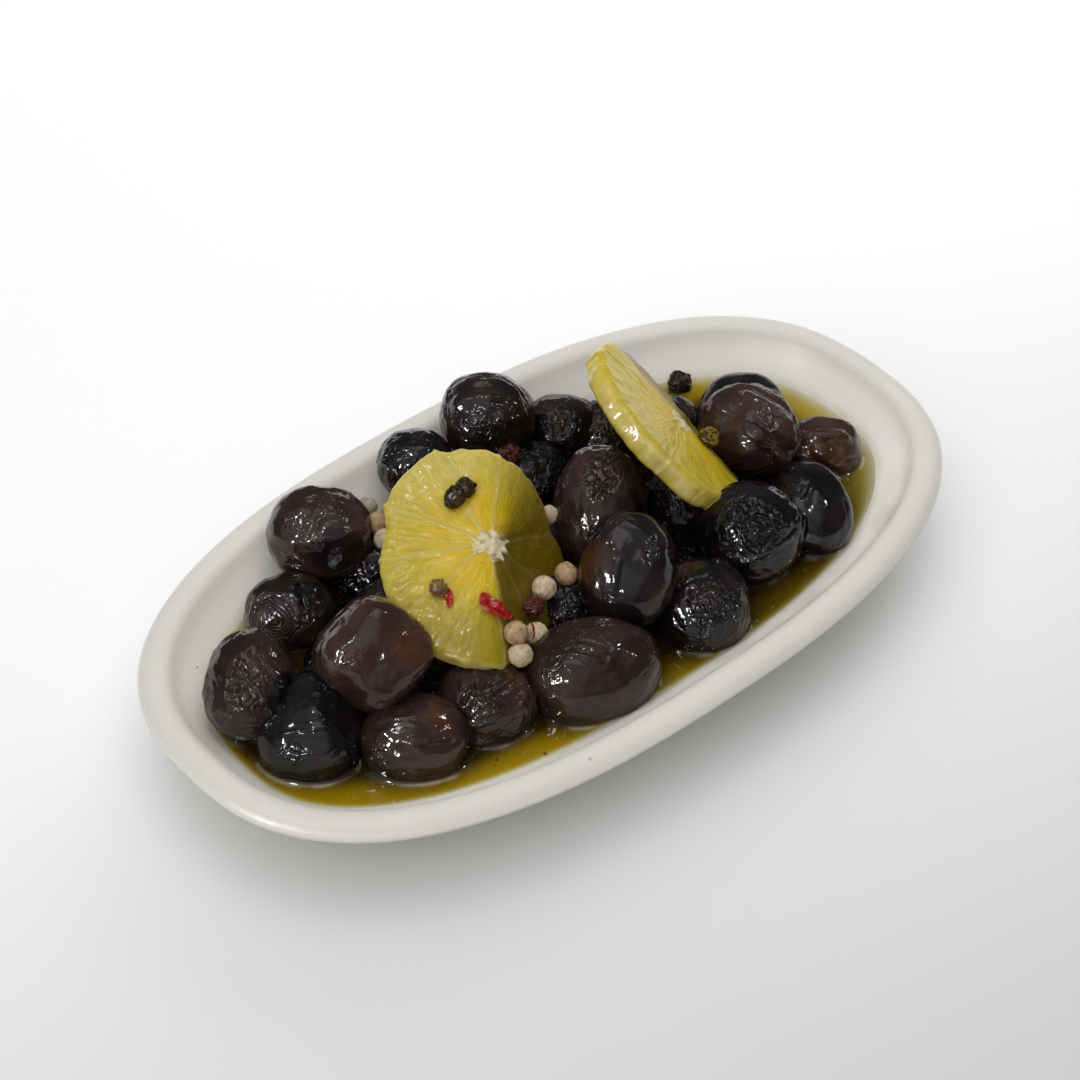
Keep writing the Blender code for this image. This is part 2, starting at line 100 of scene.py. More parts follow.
# Look of each olive: brownness, facets and their depth, fold height, folds per unit,
# stretch along the length, cover from 0 to 1, worm-like wrinkles all over, then marks.
# A mark is a kind, its place to the right and up as seen from the front, its size in
# radians and its strength. A crease has two places, a height in mm and a width.
OLIVE_LOOKS = {
    "back_left": (0.80, 9, 0.06, 0.22, 2.0, 0.5, 0.30, 0.06, [
        ("worms", -0.30, 0.25, 0.40, 0.35), ("worms", 0.15, 0.75, 0.40, 0.45),
        ("crease", 0.05, 0.35, -0.15, -0.20, 0.16, 0.05),
        ("crease", 0.05, 0.35, 0.35, 0.45, 0.14, 0.05),
        ("black", 0.35, -0.35, 0.60, 0.60), ("facet", -0.15, 0.25, 0.40, 0.05),
    ]),
    "left_upper": (0.40, 3, 0.04, 0.10, 2.4, 1.0, 0.20, 0.05, [
        ("rings", -0.25, -0.15, 0.72, 1.0), ("facet", 0.50, 0.45, 0.42, 0.05),
        ("black", 0.55, 0.45, 0.40, 0.80), ("worms", 0.45, -0.20, 0.30, 0.90),
        ("worms", -0.75, 0.30, 0.25, 0.70), ("crease", 0.15, 0.75, 0.30, -0.45, 0.25, 0.06),
    ]),
    "left_end": (0.55, 5, 0.05, 0.20, 1.8, 0.5, 0.35, 0.05, [
        ("worms", 0.05, 0.10, 0.52, 1.3), ("facet", 0.50, 0.55, 0.42, 0.07),
        ("facet", -0.72, 0.0, 0.42, 0.06), ("crease", 0.15, 0.75, 0.65, 0.30, 0.25, 0.07),
        ("black", 0.75, -0.15, 0.45, 0.8), ("dent", 0.45, -0.45, 0.25, 0.5),
    ]),
    "left_front": (0.0, 4, 0.06, 0.16, 1.6, 1.4, 0.30, 0.04, [
        ("facet", 0.72, 0.25, 0.60, 0.13), ("facet", -0.62, 0.42, 0.55, 0.11),
        ("ripples", 0.0, 0.05, 0.50, 0.9), ("worms", -0.28, -0.35, 0.22, 1.0),
        ("crease", 0.08, 0.85, 0.02, 0.25, 0.35, 0.14),
    ]),
    "left_top": (1.0, 3, 0.04, 0.14, 1.8, 0.6, 0.30, 0.03, [
        ("folds", -0.55, 0.50, 0.50, 0.8), ("facet", 0.10, -0.15, 0.45, 0.09),
        ("facet", 0.68, 0.25, 0.60, 0.15), ("rust", 0.75, 0.15, 0.50, 0.9),
        ("facet", -0.5, 0.45, 0.5, 0.11), ("facet", -0.35, -0.55, 0.45, 0.10),
        ("worms", -0.28, -0.05, 0.14, 0.8),
    ]),
    "front_left": (0.55, 5, 0.05, 0.20, 1.5, 0.4, 0.35, 0.04, [
        ("rust", 0.45, 0.55, 0.35, 0.9), ("crease", 0.0, -0.02, 0.60, 0.15, 0.35, 0.08),
        ("folds", 0.30, -0.10, 0.45, 0.6), ("crease", -0.6, 0.2, -0.1, 0.05, 0.2, 0.1),
        ("worms", -0.65, -0.25, 0.25, 0.6),
    ]),
    "front_middle": (0.70, 4, 0.05, 0.32, 1.7, 0.6, 0.60, 0.10, [
        ("worms", -0.10, 0.20, 0.42, 1.1), ("rust", 0.55, 0.55, 0.35, 0.5),
        ("folds", 0.3, 0.3, 0.5, 1.0),
    ]),
    "front_long": (0.60, 6, 0.05, 0.08, 1.9, 0.5, 0.30, 0.04, [
        ("crease", -0.25, 0.55, 0.15, 0.42, 0.45, 0.045),
        ("crease", -0.30, 0.42, 0.10, 0.28, 0.40, 0.045),
        ("worms", -0.15, 0.75, 0.45, 0.5), ("worms", -0.60, 0.20, 0.35, 0.7),
        ("dent", 0.45, 0.15, 0.22, 0.6), ("dent", 0.0, -0.1, 0.2, 0.45),
        ("dent", 0.25, -0.25, 0.18, 0.4), ("dent", 0.62, -0.15, 0.2, 0.4),
    ]),
    "upper_front": (0.15, 3, 0.03, 0.10, 1.6, 0.5, 0.25, 0.02, [
        ("worms", 0.40, 0.25, 0.28, 0.7), ("rust", -0.80, 0.10, 0.50, 0.7),
        ("crease", -0.10, 0.78, 0.45, 0.50, 0.30, 0.09), ("facet", 0.2, 0.35, 0.45, 0.04),
        ("crease", -0.3, -0.35, -0.22, 0.1, 0.2, 0.05),
    ]),
    "upper_middle": (0.75, 4, 0.04, 0.12, 1.8, 0.5, 0.25, 0.03, [
        ("maze", 0.05, 0.55, 0.46, 1.8), ("facet", 0.05, 0.55, 0.40, 0.04),
        ("black", 0.65, -0.10, 0.45, 0.6), ("folds", -0.6, 0.1, 0.5, 0.6),
        ("crease", -0.35, 0.15, -0.25, -0.35, 0.2, 0.06),
    ]),
    "inner_front": (0.10, 4, 0.05, 0.40, 2.2, 0.4, 0.80, 0.50, []),
    "front_right": (0.10, 5, 0.05, 0.20, 2.0, 0.7, 0.40, 0.05, [
        ("worms", 0.25, 0.15, 0.62, 1.4), ("rust", -0.45, 0.75, 0.40, 0.6),
        ("crease", -0.50, 0.50, 0.05, 0.72, 0.30, 0.05), ("dent", -0.35, 0.1, 0.4, 0.4),
    ]),
    "right_crumpled": (0.0, 6, 0.05, 0.18, 2.0, 0.7, 0.35, 0.05, [
        ("maze", -0.10, 0.12, 0.70, 2.0), ("facet", 0.42, -0.58, 0.50, 0.10),
        ("facet", -0.75, 0.45, 0.40, 0.05), ("dent", -0.05, 0.12, 0.60, 0.9),
        ("crease", -0.15, -0.55, 0.78, 0.0, 0.35, 0.06),
    ]),
    "right_front": (0.0, 3, 0.03, 0.08, 1.5, 0.6, 0.2, 0.02, [
        ("worms", -0.35, 0.52, 0.26, 0.9), ("facet", 0.55, -0.1, 0.45, 0.05),
        ("dent", -0.25, 0.3, 0.25, 0.5),
    ]),
    "right_top": (0.85, 5, 0.06, 0.22, 1.5, 0.5, 0.40, 0.06, [
        ("crease", -0.05, 0.75, 0.70, -0.10, 1.1, 0.17), ("dent", 0.45, -0.40, 0.28, 1.6),
        ("folds", 0.40, 0.25, 0.45, 1.0), ("facet", -0.55, 0.1, 0.6, 0.09),
        ("crease", 0.05, -0.1, 0.55, -0.65, 0.4, 0.1), ("worms", 0.3, 0.35, 0.3, 0.8),
    ]),
    "right_back": (0.0, 2, 0.03, 0.05, 1.5, 0.6, 0.15, 0.02, []),
    "right_end": (1.0, 5, 0.06, 0.14, 1.8, 0.8, 0.40, 0.10, [
        ("rust", 0.1, 0.0, 0.9, 0.7), ("crease", -0.5, 0.35, 0.5, 0.35, 0.6, 0.14),
        ("crease", -0.2, 0.0, 0.3, -0.5, 0.5, 0.12), ("dent", 0.3, 0.05, 0.3, 0.6),
    ]),
    "back_high": (0.32, 4, 0.04, 0.16, 1.9, 0.5, 0.35, 0.08, [
        ("worms", -0.15, -0.35, 0.45, 0.7), ("crease", -0.6, 0.3, 0.2, 0.45, 0.4, 0.12),
        ("folds", 0.35, 0.2, 0.5, 0.9),
    ]),
    "back_right": (0.20, 4, 0.05, 0.20, 1.9, 0.5, 0.40, 0.20, [
        ("worms", 0.0, 0.2, 0.6, 0.7), ("dent", 0.2, 0.1, 0.3, 0.5),
    ]),
    "back_small": (0.15, 4, 0.05, 0.14, 1.8, 0.5, 0.35, 0.25, []),
    "inner_back": (0.35, 4, 0.05, 0.30, 2.4, 0.5, 0.60, 0.50, []),
    "inner_left": (0.10, 4, 0.05, 0.40, 2.4, 0.4, 0.80, 0.60, []),
    "middle_back": (0.05, 4, 0.05, 0.30, 2.2, 0.5, 0.60, 0.40, []),
}
PLAIN_LOOK = (0.25, 5, 0.05, 0.25, 2.0, 0.5, 0.50, 0.20, [])
FINE_OLIVES = (
    "back_left", "left_upper", "left_end", "left_front", "left_top", "front_left",
    "front_middle", "front_long", "upper_front", "upper_middle", "front_right",
    "right_crumpled", "right_front", "right_top", "back_high",
)
# Rows and columns of an olive's mesh, of the near ones and of the rest
FINE_GRID, COARSE_GRID = (106, 166), (56, 88)
# How sharply an olive's facets meet
FACET_POWER = 38.0

# Core under the olives: middle x, middle y, half length, half width, height
CORE = [
    (0.0, 2.0, 66.0, 25.5, 6.2), (0.0, 2.0, 67.0, 26.0, 8.0), (0.0, 3.0, 66.0, 26.0, 12.4),
    (0.0, 5.0, 57.0, 24.5, 16.0), (0.0, 7.0, 43.0, 19.0, 18.0), (0.0, 7.0, 25.0, 11.0, 19.0),
]

# Peppercorns on the olives: middle x, y, z, width, kind
HEAP_CORNS = {
    "tan": (-6.9, -11.3, 27.0, 5.2, "tan"),
    "pale_low": (-24.0, -25.4, 24.2, 4.6, "pale"),
    "pale_middle": (1.7, 4.7, 27.8, 4.4, "pale"),
    "pale_back_a": (-26.9, 33.6, 27.0, 4.8, "grey"),
    "pale_back_b": (-28.4, 28.1, 27.0, 5.0, "tan"),
    "pale_back_c": (-29.3, 24.1, 25.6, 5.0, "pale"),
    "dark_back": (8.5, 26.8, 26.6, 5.1, "red"),
}
OIL_CORN = (64.8, 30.3, 15.0, 5.8, "black")
# Specks that float on the oil: x, y and radius
OIL_SPECKS = [
    (-84.3, 1.1, 0.5), (-45.3, -33.7, 0.4), (-36.5, -38.9, 0.5), (30.1, -31.6, 0.5),
    (30.6, -33.6, 0.6), (32.4, -34.4, 0.5), (31.6, -33.0, 0.35), (-46.5, -34.6, 0.25),
]

# Lemon slices, as in the solids
FRONT_SLICE = {
    "pith": (-21.7, -2.8, 38.0),
    "right": (0.760, -0.649, 0.0),
    "up": (0.573, 0.671, 0.469),
    "thick": 4.4,
    "bend": (8.0, -52.0),
    "fold": 9.0,
    "segments": [
        (21.0, 20.6, 21.6), (85.5, 20.6, 22.4), (118.0, 24.8, 25.0), (156.5, 24.9, 22.6),
        (186.5, 23.6, 24.2), (222.0, 24.2, 27.0), (276.0, 27.4, 25.0), (307.0, 22.4, 23.4),
        (340.0, 23.8, 24.6),
    ],
}
BACK_SLICE = {
    "pith": (38.8, 5.0, 31.5),
    "right": (-0.664, -0.497, 0.557),
    "up": (0.166, -0.825, -0.539),
    "thick": 6.0,
    "bend": (5.5, -7.0),
    "fold": 8.0,
    "segments": [
        (12.0, 24.6, 25.2), (52.0, 23.4, 22.8), (88.0, 20.8, 21.4), (131.0, 21.6, 23.2),
        (170.0, 23.2, 24.0), (212.0, 23.4, 24.4), (249.0, 24.2, 25.2), (291.0, 25.6, 26.4),
        (330.0, 26.0, 26.2),
    ],
}
# Toppings on each slice: across and along from the pith, lift, length, breadth, depth,
# direction and kind
FRONT_TOPPINGS = {
    "black_twin_a": (-6.6, 10.1, 1.4, 5.1, 4.6, 4.2, 40, "black"),
    "black_twin_b": (-4.4, 12.1, 1.3, 4.7, 4.4, 4.0, 40, "black"),
    "brown_small": (-10.0, -10.1, 1.3, 4.0, 3.8, 3.6, 20, "olive"),
    "white_a": (13.2, -6.9, 1.9, 5.5, 5.4, 5.3, 10, "pale"),
    "dark_red": (10.0, -11.7, 1.6, 4.8, 4.6, 4.4, 10, "red"),
    "white_b": (3.8, -19.2, 1.9, 5.4, 5.3, 5.2, 10, "tan"),
    "white_c": (10.5, -17.8, 1.8, 5.4, 5.2, 5.1, 10, "pale"),
    "white_d": (5.4, -23.6, 1.8, 5.4, 5.3, 5.2, 10, "pale"),
}
BACK_TOPPINGS = {"green_yellow": (-3.2, 6.7, 1.6, 5.2, 4.8, 4.6, 10, "gold")}
# Red flakes on the front slice: points across and along, half widths, then lift
RED_FLAKES = [
    ([(-8.6, -10.2), (-8.1, -11.4), (-7.6, -12.8), (-7.9, -14.4)], [0.8, 1.1, 0.8, 0.3], 0.0),
    (
        [(-1.0, -10.9), (-1.1, -12.6), (-0.4, -14.3), (1.2, -15.4), (3.0, -15.3), (4.0, -14.0)],
        [0.5, 1.0, 1.25, 1.15, 0.95, 0.3], 0.0,
    ),
    ([(0.2, -12.6), (1.1, -13.3), (1.6, -14.4)], [0.35, 0.7, 0.5], 0.2),
    ([(6.3, -16.4), (7.1, -17.4), (7.4, -18.8), (7.0, -20.3)], [0.20, 0.35, 0.35, 0.2], 3.3),
]

CORN_COLOURS = {
    "pale": ((0.64, 0.54, 0.37), (0.42, 0.32, 0.18), (0.12, 0.075, 0.04)),
    "tan": ((0.50, 0.35, 0.20), (0.30, 0.17, 0.08), (0.12, 0.055, 0.025)),
    "grey": ((0.42, 0.38, 0.29), (0.26, 0.22, 0.15), (0.12, 0.09, 0.06)),
    "red": ((0.12, 0.026, 0.015), (0.045, 0.009, 0.006), (0.012, 0.004, 0.003)),
    "black": ((0.060, 0.030, 0.009), (0.010, 0.006, 0.003), (0.003, 0.002, 0.002)),
    "olive": ((0.26, 0.17, 0.06), (0.13, 0.08, 0.025), (0.05, 0.03, 0.01)),
    "gold": ((0.31, 0.20, 0.020), (0.060, 0.036, 0.004), (0.008, 0.005, 0.002)),
}

# Camera, fitted to the photo, and the directions of its view
AZIMUTH, ELEVATION = math.radians(-40.5), math.radians(43.9)
DISTANCE, AIM_HEIGHT = 590.0, 20.3
LENS, SENSOR, SHIFT_X, SHIFT_Y = 88.56, 36.0, -0.01574, 0.01296
BACK = np.array([
    math.sin(AZIMUTH) * math.cos(ELEVATION),
    -math.cos(AZIMUTH) * math.cos(ELEVATION),
    math.sin(ELEVATION),
])
RIGHT = np.cross(-BACK, [0.0, 0.0, 1.0])
RIGHT = RIGHT / np.linalg.norm(RIGHT)
UP = np.cross(RIGHT, -BACK)

# Floor with a painted light falloff: lighter towards the far left, painted shade towards the near
# right
FLOOR_LIT_TONE, FLOOR_SHADED_TONE = (0.94, 0.94, 0.94), (0.52, 0.52, 0.52)

# Glows of the world: direction, cosines where each starts and is full, and strength
SKY_BASE = 0.10
SKY_GLOWS = (
    ((-0.45, -0.10, 0.89), 0.40, 1.0, 0.32),
    ((-0.80, -0.25, 0.55), 0.60, 1.0, 0.25),
    ((0.10, 0.12, 0.985), 0.925, 1.0, 1.0),
)
# Lights: name, place in mm, width and height in metres, brightness of the face, and
# whether it is mirrored by wet surfaces instead of adding soft light
LIGHTS = (
    ("spark", (-240.0, 100.0, 720.0), 0.05, 0.05, 60.0, True),
    ("side spark", (-520.0, -330.0, 420.0), 0.03, 0.12, 70.0, True),
    ("key", (-610.0, -20.0, 330.0), 0.034, 0.20, 190.0, True),
    ("right spark", (350.0, -210.0, 560.0), 0.04, 0.04, 40.0, True),
    ("overhead", (-30.0, 30.0, 900.0), 1.5, 1.3, 0.95, False),
    ("far fill", (600.0, 420.0, 380.0), 0.90, 0.60, 2.0, False),
    ("left fill", (-540.0, -420.0, 420.0), 0.80, 0.55, 1.0, False),
)


# Numbers

def smooth(low, high, value):
    """Smooth step from 0 at low to 1 at high."""
    share = np.clip((value - low) / (high - low), 0.0, 1.0)
    return share * share * (3.0 - 2.0 * share)


def blend(first, second, share):
    """Colour between two, by a share at each place. The second may be a plain tuple."""
    return first + (np.asarray(second) - first) * share[..., None]


def outline_ring(turn):
    """Across and along on the dish's superellipse outline, of half size 1, at each angle."""
    c, s = np.cos(turn), np.sin(turn)
    reach = (np.abs(c) ** OUTLINE_POWER + np.abs(s) ** OUTLINE_POWER) ** (-1.0 / OUTLINE_POWER)
    return reach * c, reach * s


SLOPES = np.random.default_rng(5).normal(size=(256, 3))
SLOPES = SLOPES / np.linalg.norm(SLOPES, axis=1, keepdims=True)


def noise(points, seed):
    """Gradient noise: each corner of a point's cell has a hashed slope, and the eight
    values of those slopes at the point are blended smoothly. It is about -1 to 1."""
    cell = np.floor(points).astype(np.int64)
    within = points - cell
    ease = within ** 3 * (within * (within * 6.0 - 15.0) + 10.0)
    total = np.zeros(points.shape[:-1])
    for corner in np.ndindex(2, 2, 2):
        at = cell + np.array(corner)
        mixed = at[..., 0] * 73856093 ^ at[..., 1] * 19349663 ^ at[..., 2] * 83492791
        mixed = (mixed ^ (seed * 7919)) & 0x7FFFFFFF
        mixed = (mixed ^ (mixed >> 13)) * 1274126177 & 0x7FFFFFFF
        slope = SLOPES[(mixed >> 8) & 255]
        value = (slope * (within - np.array(corner))).sum(axis=-1)
        weight = np.where(np.array(corner) == 1, ease, 1.0 - ease).prod(axis=-1)
        total = total + weight * value
    return total * 1.7


def warped(points, amount, seed):
    """Points pushed about by noise in each axis."""
    push = np.stack([noise(points * 0.8 + 9.1 * k, seed + k) for k in range(3)], axis=-1)
    return points + amount * push


def crests(value, width):
    """Narrow raised lines where a noise crosses zero, with hollow sides between them."""
    return np.clip(1.0 - np.abs(value) / width, 0.0, 1.0) ** 2


def turned(yaw, tilt, roll):
    """Rotation matrix: roll about the length, tilt of the far end upwards, then yaw."""
    a, b, c = (math.radians(value) for value in (yaw, tilt, roll))
    about_z = [[math.cos(a), -math.sin(a), 0], [math.sin(a), math.cos(a), 0], [0, 0, 1]]
    about_y = [[math.cos(b), 0, -math.sin(b)], [0, 1, 0], [math.sin(b), 0, math.cos(b)]]
    about_x = [[1, 0, 0], [0, math.cos(c), -math.sin(c)], [0, math.sin(c), math.cos(c)]]
    return np.array(about_z) @ np.array(about_y) @ np.array(about_x)


# Meshes

def grid_quads(rows, columns, closed, start=0):
    """Corner numbers of the faces between neighbouring rows, the columns joined up when closed."""
    index = np.arange(rows * columns).reshape(rows, columns) + start
    following = np.roll(index, -1, axis=1) if closed else index[:, 1:]
    here = index if closed else index[:, :-1]
    quads = np.stack([here[:-1], following[:-1], following[1:], here[1:]], axis=-1)
    return quads.reshape(-1, 4)


class Body:
    """Points, faces and per-point values of one piece, gathered before its mesh is made."""

    def __init__(self):
        self.points, self.quads, self.triangles, self.values = [], [], [], {}
        self.count = 0

    def add(self, points, quads, triangles=None, **values):
        """Adds a part with its own numbering."""
        self.points.append(points.reshape(-1, 3))
        self.quads.append(np.asarray(quads).reshape(-1, 4) + self.count)
        if triangles is not None:
            self.triangles.append(np.asarray(triangles).reshape(-1, 3) + self.count)
        for name, value in values.items():
            self.values.setdefault(name, []).append(value)
        self.count += len(self.points[-1])

    def ball(self, points, ends, **values):
        """Adds a closed ball of rows and columns with a fan to each end point."""
        count, columns = points.shape[:2]
        quads = grid_quads(count, columns, True)
        first, last = count * columns, count * columns + 1
        column = np.arange(columns)
        following = (column + 1) % columns
        base = (count - 1) * columns
        low = np.stack([following, column, np.full(columns, first)], axis=-1)
        high = np.stack([base + column, base + following, np.full(columns, last)], axis=-1)
        everything = np.concatenate([points.reshape(-1, 3), ends])
        self.add(everything, quads, np.concatenate([low, high]), **values)

    def listed_ball(self, points, columns, **values):
        """Adds a ball from a list of its points, row by row, with the two ends last."""
        self.ball(points[:-2].reshape(-1, columns, 3), points[-2:], **values)

    def make(self, name, material, slot, nodes):
        """Builds the mesh, gives it its material and body, and hides the solids it replaces. The
        slot is not used.
        """
        points = np.concatenate(self.points) * MM
        quads = np.concatenate(self.quads)
        if self.triangles:
            triangles = np.concatenate(self.triangles)
        else:
            triangles = np.zeros((0, 3), int)
        mesh = bpy.data.meshes.new(name)
        mesh.vertices.add(len(points))
        mesh.vertices.foreach_set("co", points.ravel().astype(np.float32))
        corners = np.concatenate([quads.ravel(), triangles.ravel()]).astype(np.int32)
        mesh.loops.add(len(corners))
        mesh.loops.foreach_set("vertex_index", corners)
        mesh.polygons.add(len(quads) + len(triangles))
        starts = np.arange(len(quads)) * 4
        more = len(quads) * 4 + np.arange(len(triangles)) * 3
        mesh.polygons.foreach_set("loop_start", np.concatenate([starts, more]).astype(np.int32))
        mesh.update(calc_edges=True)
        mesh.validate()
        mesh.shade_smooth()
        for key, parts in self.values.items():
            value = np.concatenate([np.asarray(part, np.float32) for part in parts])
            if key == "local":
                made = mesh.attributes.new(key, "FLOAT_VECTOR", "POINT")
                made.data.foreach_set("vector", value.ravel())
            elif value.ndim == 2:
                made = mesh.attributes.new(key, "FLOAT_COLOR", "POINT")
                full = np.ones((len(value), 4), np.float32)
                full[:, :3] = value
                made.data.foreach_set("color", full.ravel())
            else:
                made = mesh.attributes.new(key, "FLOAT", "POINT")
                made.data.foreach_set("value", value)
        mesh.materials.append(material)
        piece = bpy.data.objects.new(name, mesh)
        bpy.context.scene.collection.objects.link(piece)
        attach(piece, "root")
        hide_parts(*nodes)
        return piece


# Materials

class Tone:
    """A socket in a material's nodes, with arithmetic that adds Math nodes."""

    def __init__(self, board, socket):
        self.board, self.socket = board, socket

    def __add__(self, other):
        return self.board.maths("ADD", self, other)

    def __radd__(self, other):
        return self.board.maths("ADD", other, self)

    def __sub__(self, other):
        return self.board.maths("SUBTRACT", self, other)

    def __rsub__(self, other):
        return self.board.maths("SUBTRACT", other, self)

    def __mul__(self, other):
        return self.board.maths("MULTIPLY", self, other)

    def __rmul__(self, other):
        return self.board.maths("MULTIPLY", other, self)

    def step(self, low, high):
        """Smooth step of the value between two numbers."""
        return self.board.node(
            "ShaderNodeMapRange",
            {"Value": self, "From Min": low, "From Max": high},
            interpolation_type="SMOOTHSTEP",
        )


class Board:
    """One material with its Principled shader, and short ways to add nodes to it."""

    def __init__(self, name, **plain):
        self.material = bpy.data.materials.new(name)
        self.material.use_nodes = True
        self.tree = self.material.node_tree
        self.shader = self.tree.nodes["Principled BSDF"]
        for key, value in plain.items():
            self.shader.inputs[key.replace("_", " ")].default_value = value

    def put(self, socket, value):
        """Links a tone to a socket, or sets a plain value on it."""
        if isinstance(value, Tone):
            self.tree.links.new(value.socket, socket)
        elif isinstance(value, tuple) and len(value) == 3 and socket.type == "RGBA":
            socket.default_value = (*value, 1.0)
        else:
            socket.default_value = value

    def node(self, kind, inputs=None, output=0, **settings):
        """Any node: its settings, then its sockets by name or number."""
        made = self.tree.nodes.new(kind)
        for key, value in settings.items():
            setattr(made, key, value)
        for key, value in (inputs or {}).items():
            self.put(made.inputs[key], value)
        return Tone(self, made.outputs[output])

    def maths(self, operation, *values):
        """A Math node."""
        return self.node("ShaderNodeMath", dict(enumerate(values)), operation=operation)

    def mix(self, share, first, second):
        """A blend of two colours."""
        inputs = {0: share, 6: first, 7: second}
        return self.node("ShaderNodeMix", inputs, output=2, data_type="RGBA")

    def value(self, name, output=2):
        """A number kept on the mesh's points, or with output 1 a vector."""
        return self.node("ShaderNodeAttribute", output=output, attribute_name=name)

    def colour(self, name):
        """A colour kept on the mesh's points."""
        return self.node("ShaderNodeAttribute", output=0, attribute_name=name)

    def place(self):
        """The object's own coordinates, in metres."""
        return self.node("ShaderNodeTexCoord", output=3)

    def speckle(self, scale, detail=3.0, rough=0.5, at=None, **more):
        """Noise texture value at a scale in cells per unit of its place."""
        inputs = {"Vector": at or self.place(), "Scale": scale, "Detail": detail}
        inputs["Roughness"] = rough
        inputs.update(more)
        return self.node("ShaderNodeTexNoise", inputs)

    def crest(self, tone, width):
        """Rounded lines where a noise texture value crosses its middle."""
        away = self.maths("ABSOLUTE", tone - 0.5)
        return 1.0 - away.step(0.0, width)

    def bump(self, height, strength=1.0, distance=MM):
        """A bump from a height, by default in millimetres."""
        inputs = {"Height": height, "Strength": strength, "Distance": distance}
        return self.node("ShaderNodeBump", inputs)

    def axis(self, number):
        """One of the object's own coordinates, in metres."""
        return self.node("ShaderNodeSeparateXYZ", {0: self.place()}, output=number)

    def finish(self, **sockets):
        """Feeds the shader's sockets and returns the material."""
        for key, value in sockets.items():
            self.put(self.shader.inputs[key.replace("_", " ")], value)
        return self.material


def glaze_material():
    """Cream glaze with tiny dark specks, a faint mottle and fine ripples where marked.
    The inner bowl is painted lighter than the rim to make up for the shade inside it, the
    grooves between the ripples get painted shade, and the yellow band at the oil line is
    partly an oil film on the glaze and partly a painted reflection of the oil.
    """
    board = Board("cream_glaze", IOR=1.42)
    mottle = board.speckle(22.0, 4.0).step(0.35, 0.7)
    rim = board.mix(mottle, (0.680, 0.660, 0.605), (0.650, 0.628, 0.570))
    # The inner bowl's glaze is painted lighter than the rim's, to make up for the shade inside the
    # bowl.
    bowl_lightened = board.mix(mottle, (0.925, 0.905, 0.835), (0.900, 0.880, 0.805))
    colour = board.mix(board.value("bowl_lightened"), rim, bowl_lightened)
    grain = board.node(
        "ShaderNodeTexVoronoi", {"Vector": board.place(), "Scale": 95.0}, feature="F1"
    )
    chance = board.speckle(60.0, 1.0)
    speck = (1.0 - grain.step(0.02, 0.05)) * chance.step(0.60, 0.66)
    colour = board.mix(speck * 0.75, colour, (0.22, 0.15, 0.10))
    # Yellow band at the oil line: partly an oil film on the glaze, partly a painted reflection of
    # the oil.
    colour = board.mix(board.value("oil_band_and_reflection"), colour, (0.50, 0.44, 0.16))
    soft = board.speckle(45.0, 3.0)
    pits = board.speckle(600.0, 2.0)
    drift = board.speckle(120.0, 1.0)
    wave = board.maths("SINE", (board.axis(1) + 0.07 * board.axis(0) + drift * 0.0008) * RIB_TURN)
    ribs = wave.step(-0.2, 1.0) * board.value("ribs") * (0.25 + 0.75 * drift.step(0.38, 0.62))
    # Painted shade: the grooves between the ribs are painted darker.
    colour = board.mix(ribs * 0.60, colour, (0.31, 0.29, 0.23))
    normal = board.bump(soft * 0.15 + pits * 0.018 - ribs * 0.12)
    rough = board.speckle(140.0, 3.0) * 0.14 + 0.30
    return board.finish(Base_Color=colour, Roughness=rough, Normal=normal)


def oil_material():
    """Clear oil, its colour kept on the points: by depth, with painted shade near the olives
    and painted highlight lines where it climbs them.
    """
    board = Board("olive_oil", Roughness=0.03, IOR=1.47)
    drift = board.speckle(70.0, 3.0)
    dark = board.node(
        "ShaderNodeHueSaturation", {"Color": board.colour("depth_colour"), "Value": 0.86}
    )
    colour = board.mix(drift.step(0.35, 0.7), board.colour("depth_colour"), dark)
    return board.finish(Base_Color=colour)


def skin_material():
    """Oiled olive skin, near black to mauve brown, wrinkled where the values say.
    Worms are lines where a swirled noise crosses its middle, the maze is two nets of such
    lines, and rings are a sine of the swirl value."""
    board = Board("olive_skin", IOR=1.50)
    place = board.value("local", 1)
    cloud = board.speckle(0.10, 3.0, at=place)
    patch = board.speckle(0.28, 3.0, at=place)
    black = board.mix(cloud.step(0.3, 0.7), (0.0020, 0.0017, 0.0021), (0.0060, 0.0048, 0.0062))
    warm = board.mix(cloud.step(0.3, 0.7), (0.024, 0.0110, 0.0083), (0.055, 0.0275, 0.0225))
    colour = board.mix(board.value("brown"), black, warm)
    orange = board.mix(patch.step(0.3, 0.7), (0.045, 0.014, 0.004), (0.090, 0.034, 0.009))
    colour = board.mix(board.value("rust") * 0.75, colour, orange)
    first = board.speckle(0.38, 0.0, at=place, Distortion=1.1)
    second = board.speckle(0.26, 0.0, at=place, Distortion=1.0)
    third = board.speckle(0.52, 0.0, at=place, Distortion=0.8)
    lines = board.crest(first, 0.15)
    net = board.maths("MAXIMUM", board.crest(second, 0.12), 0.55 * board.crest(third, 0.12))
    ring = board.maths("SINE", board.value("swirl")).step(-0.6, 1.0)
    folds = board.speckle(0.34, 2.0, 0.45, at=place)
    pores = board.speckle(2.6, 1.0, at=place)
    height = board.value("worms") * lines * 0.34
    height = height + board.value("maze") * net * 0.55
    height = height + board.value("rings") * ring * 0.20
    height = height + folds * 0.26 + pores * 0.006
    normal = board.bump(height)
    rough = 0.055 + 0.11 * cloud.step(0.35, 0.8)
    return board.finish(Base_Color=colour, Roughness=rough, Normal=normal)


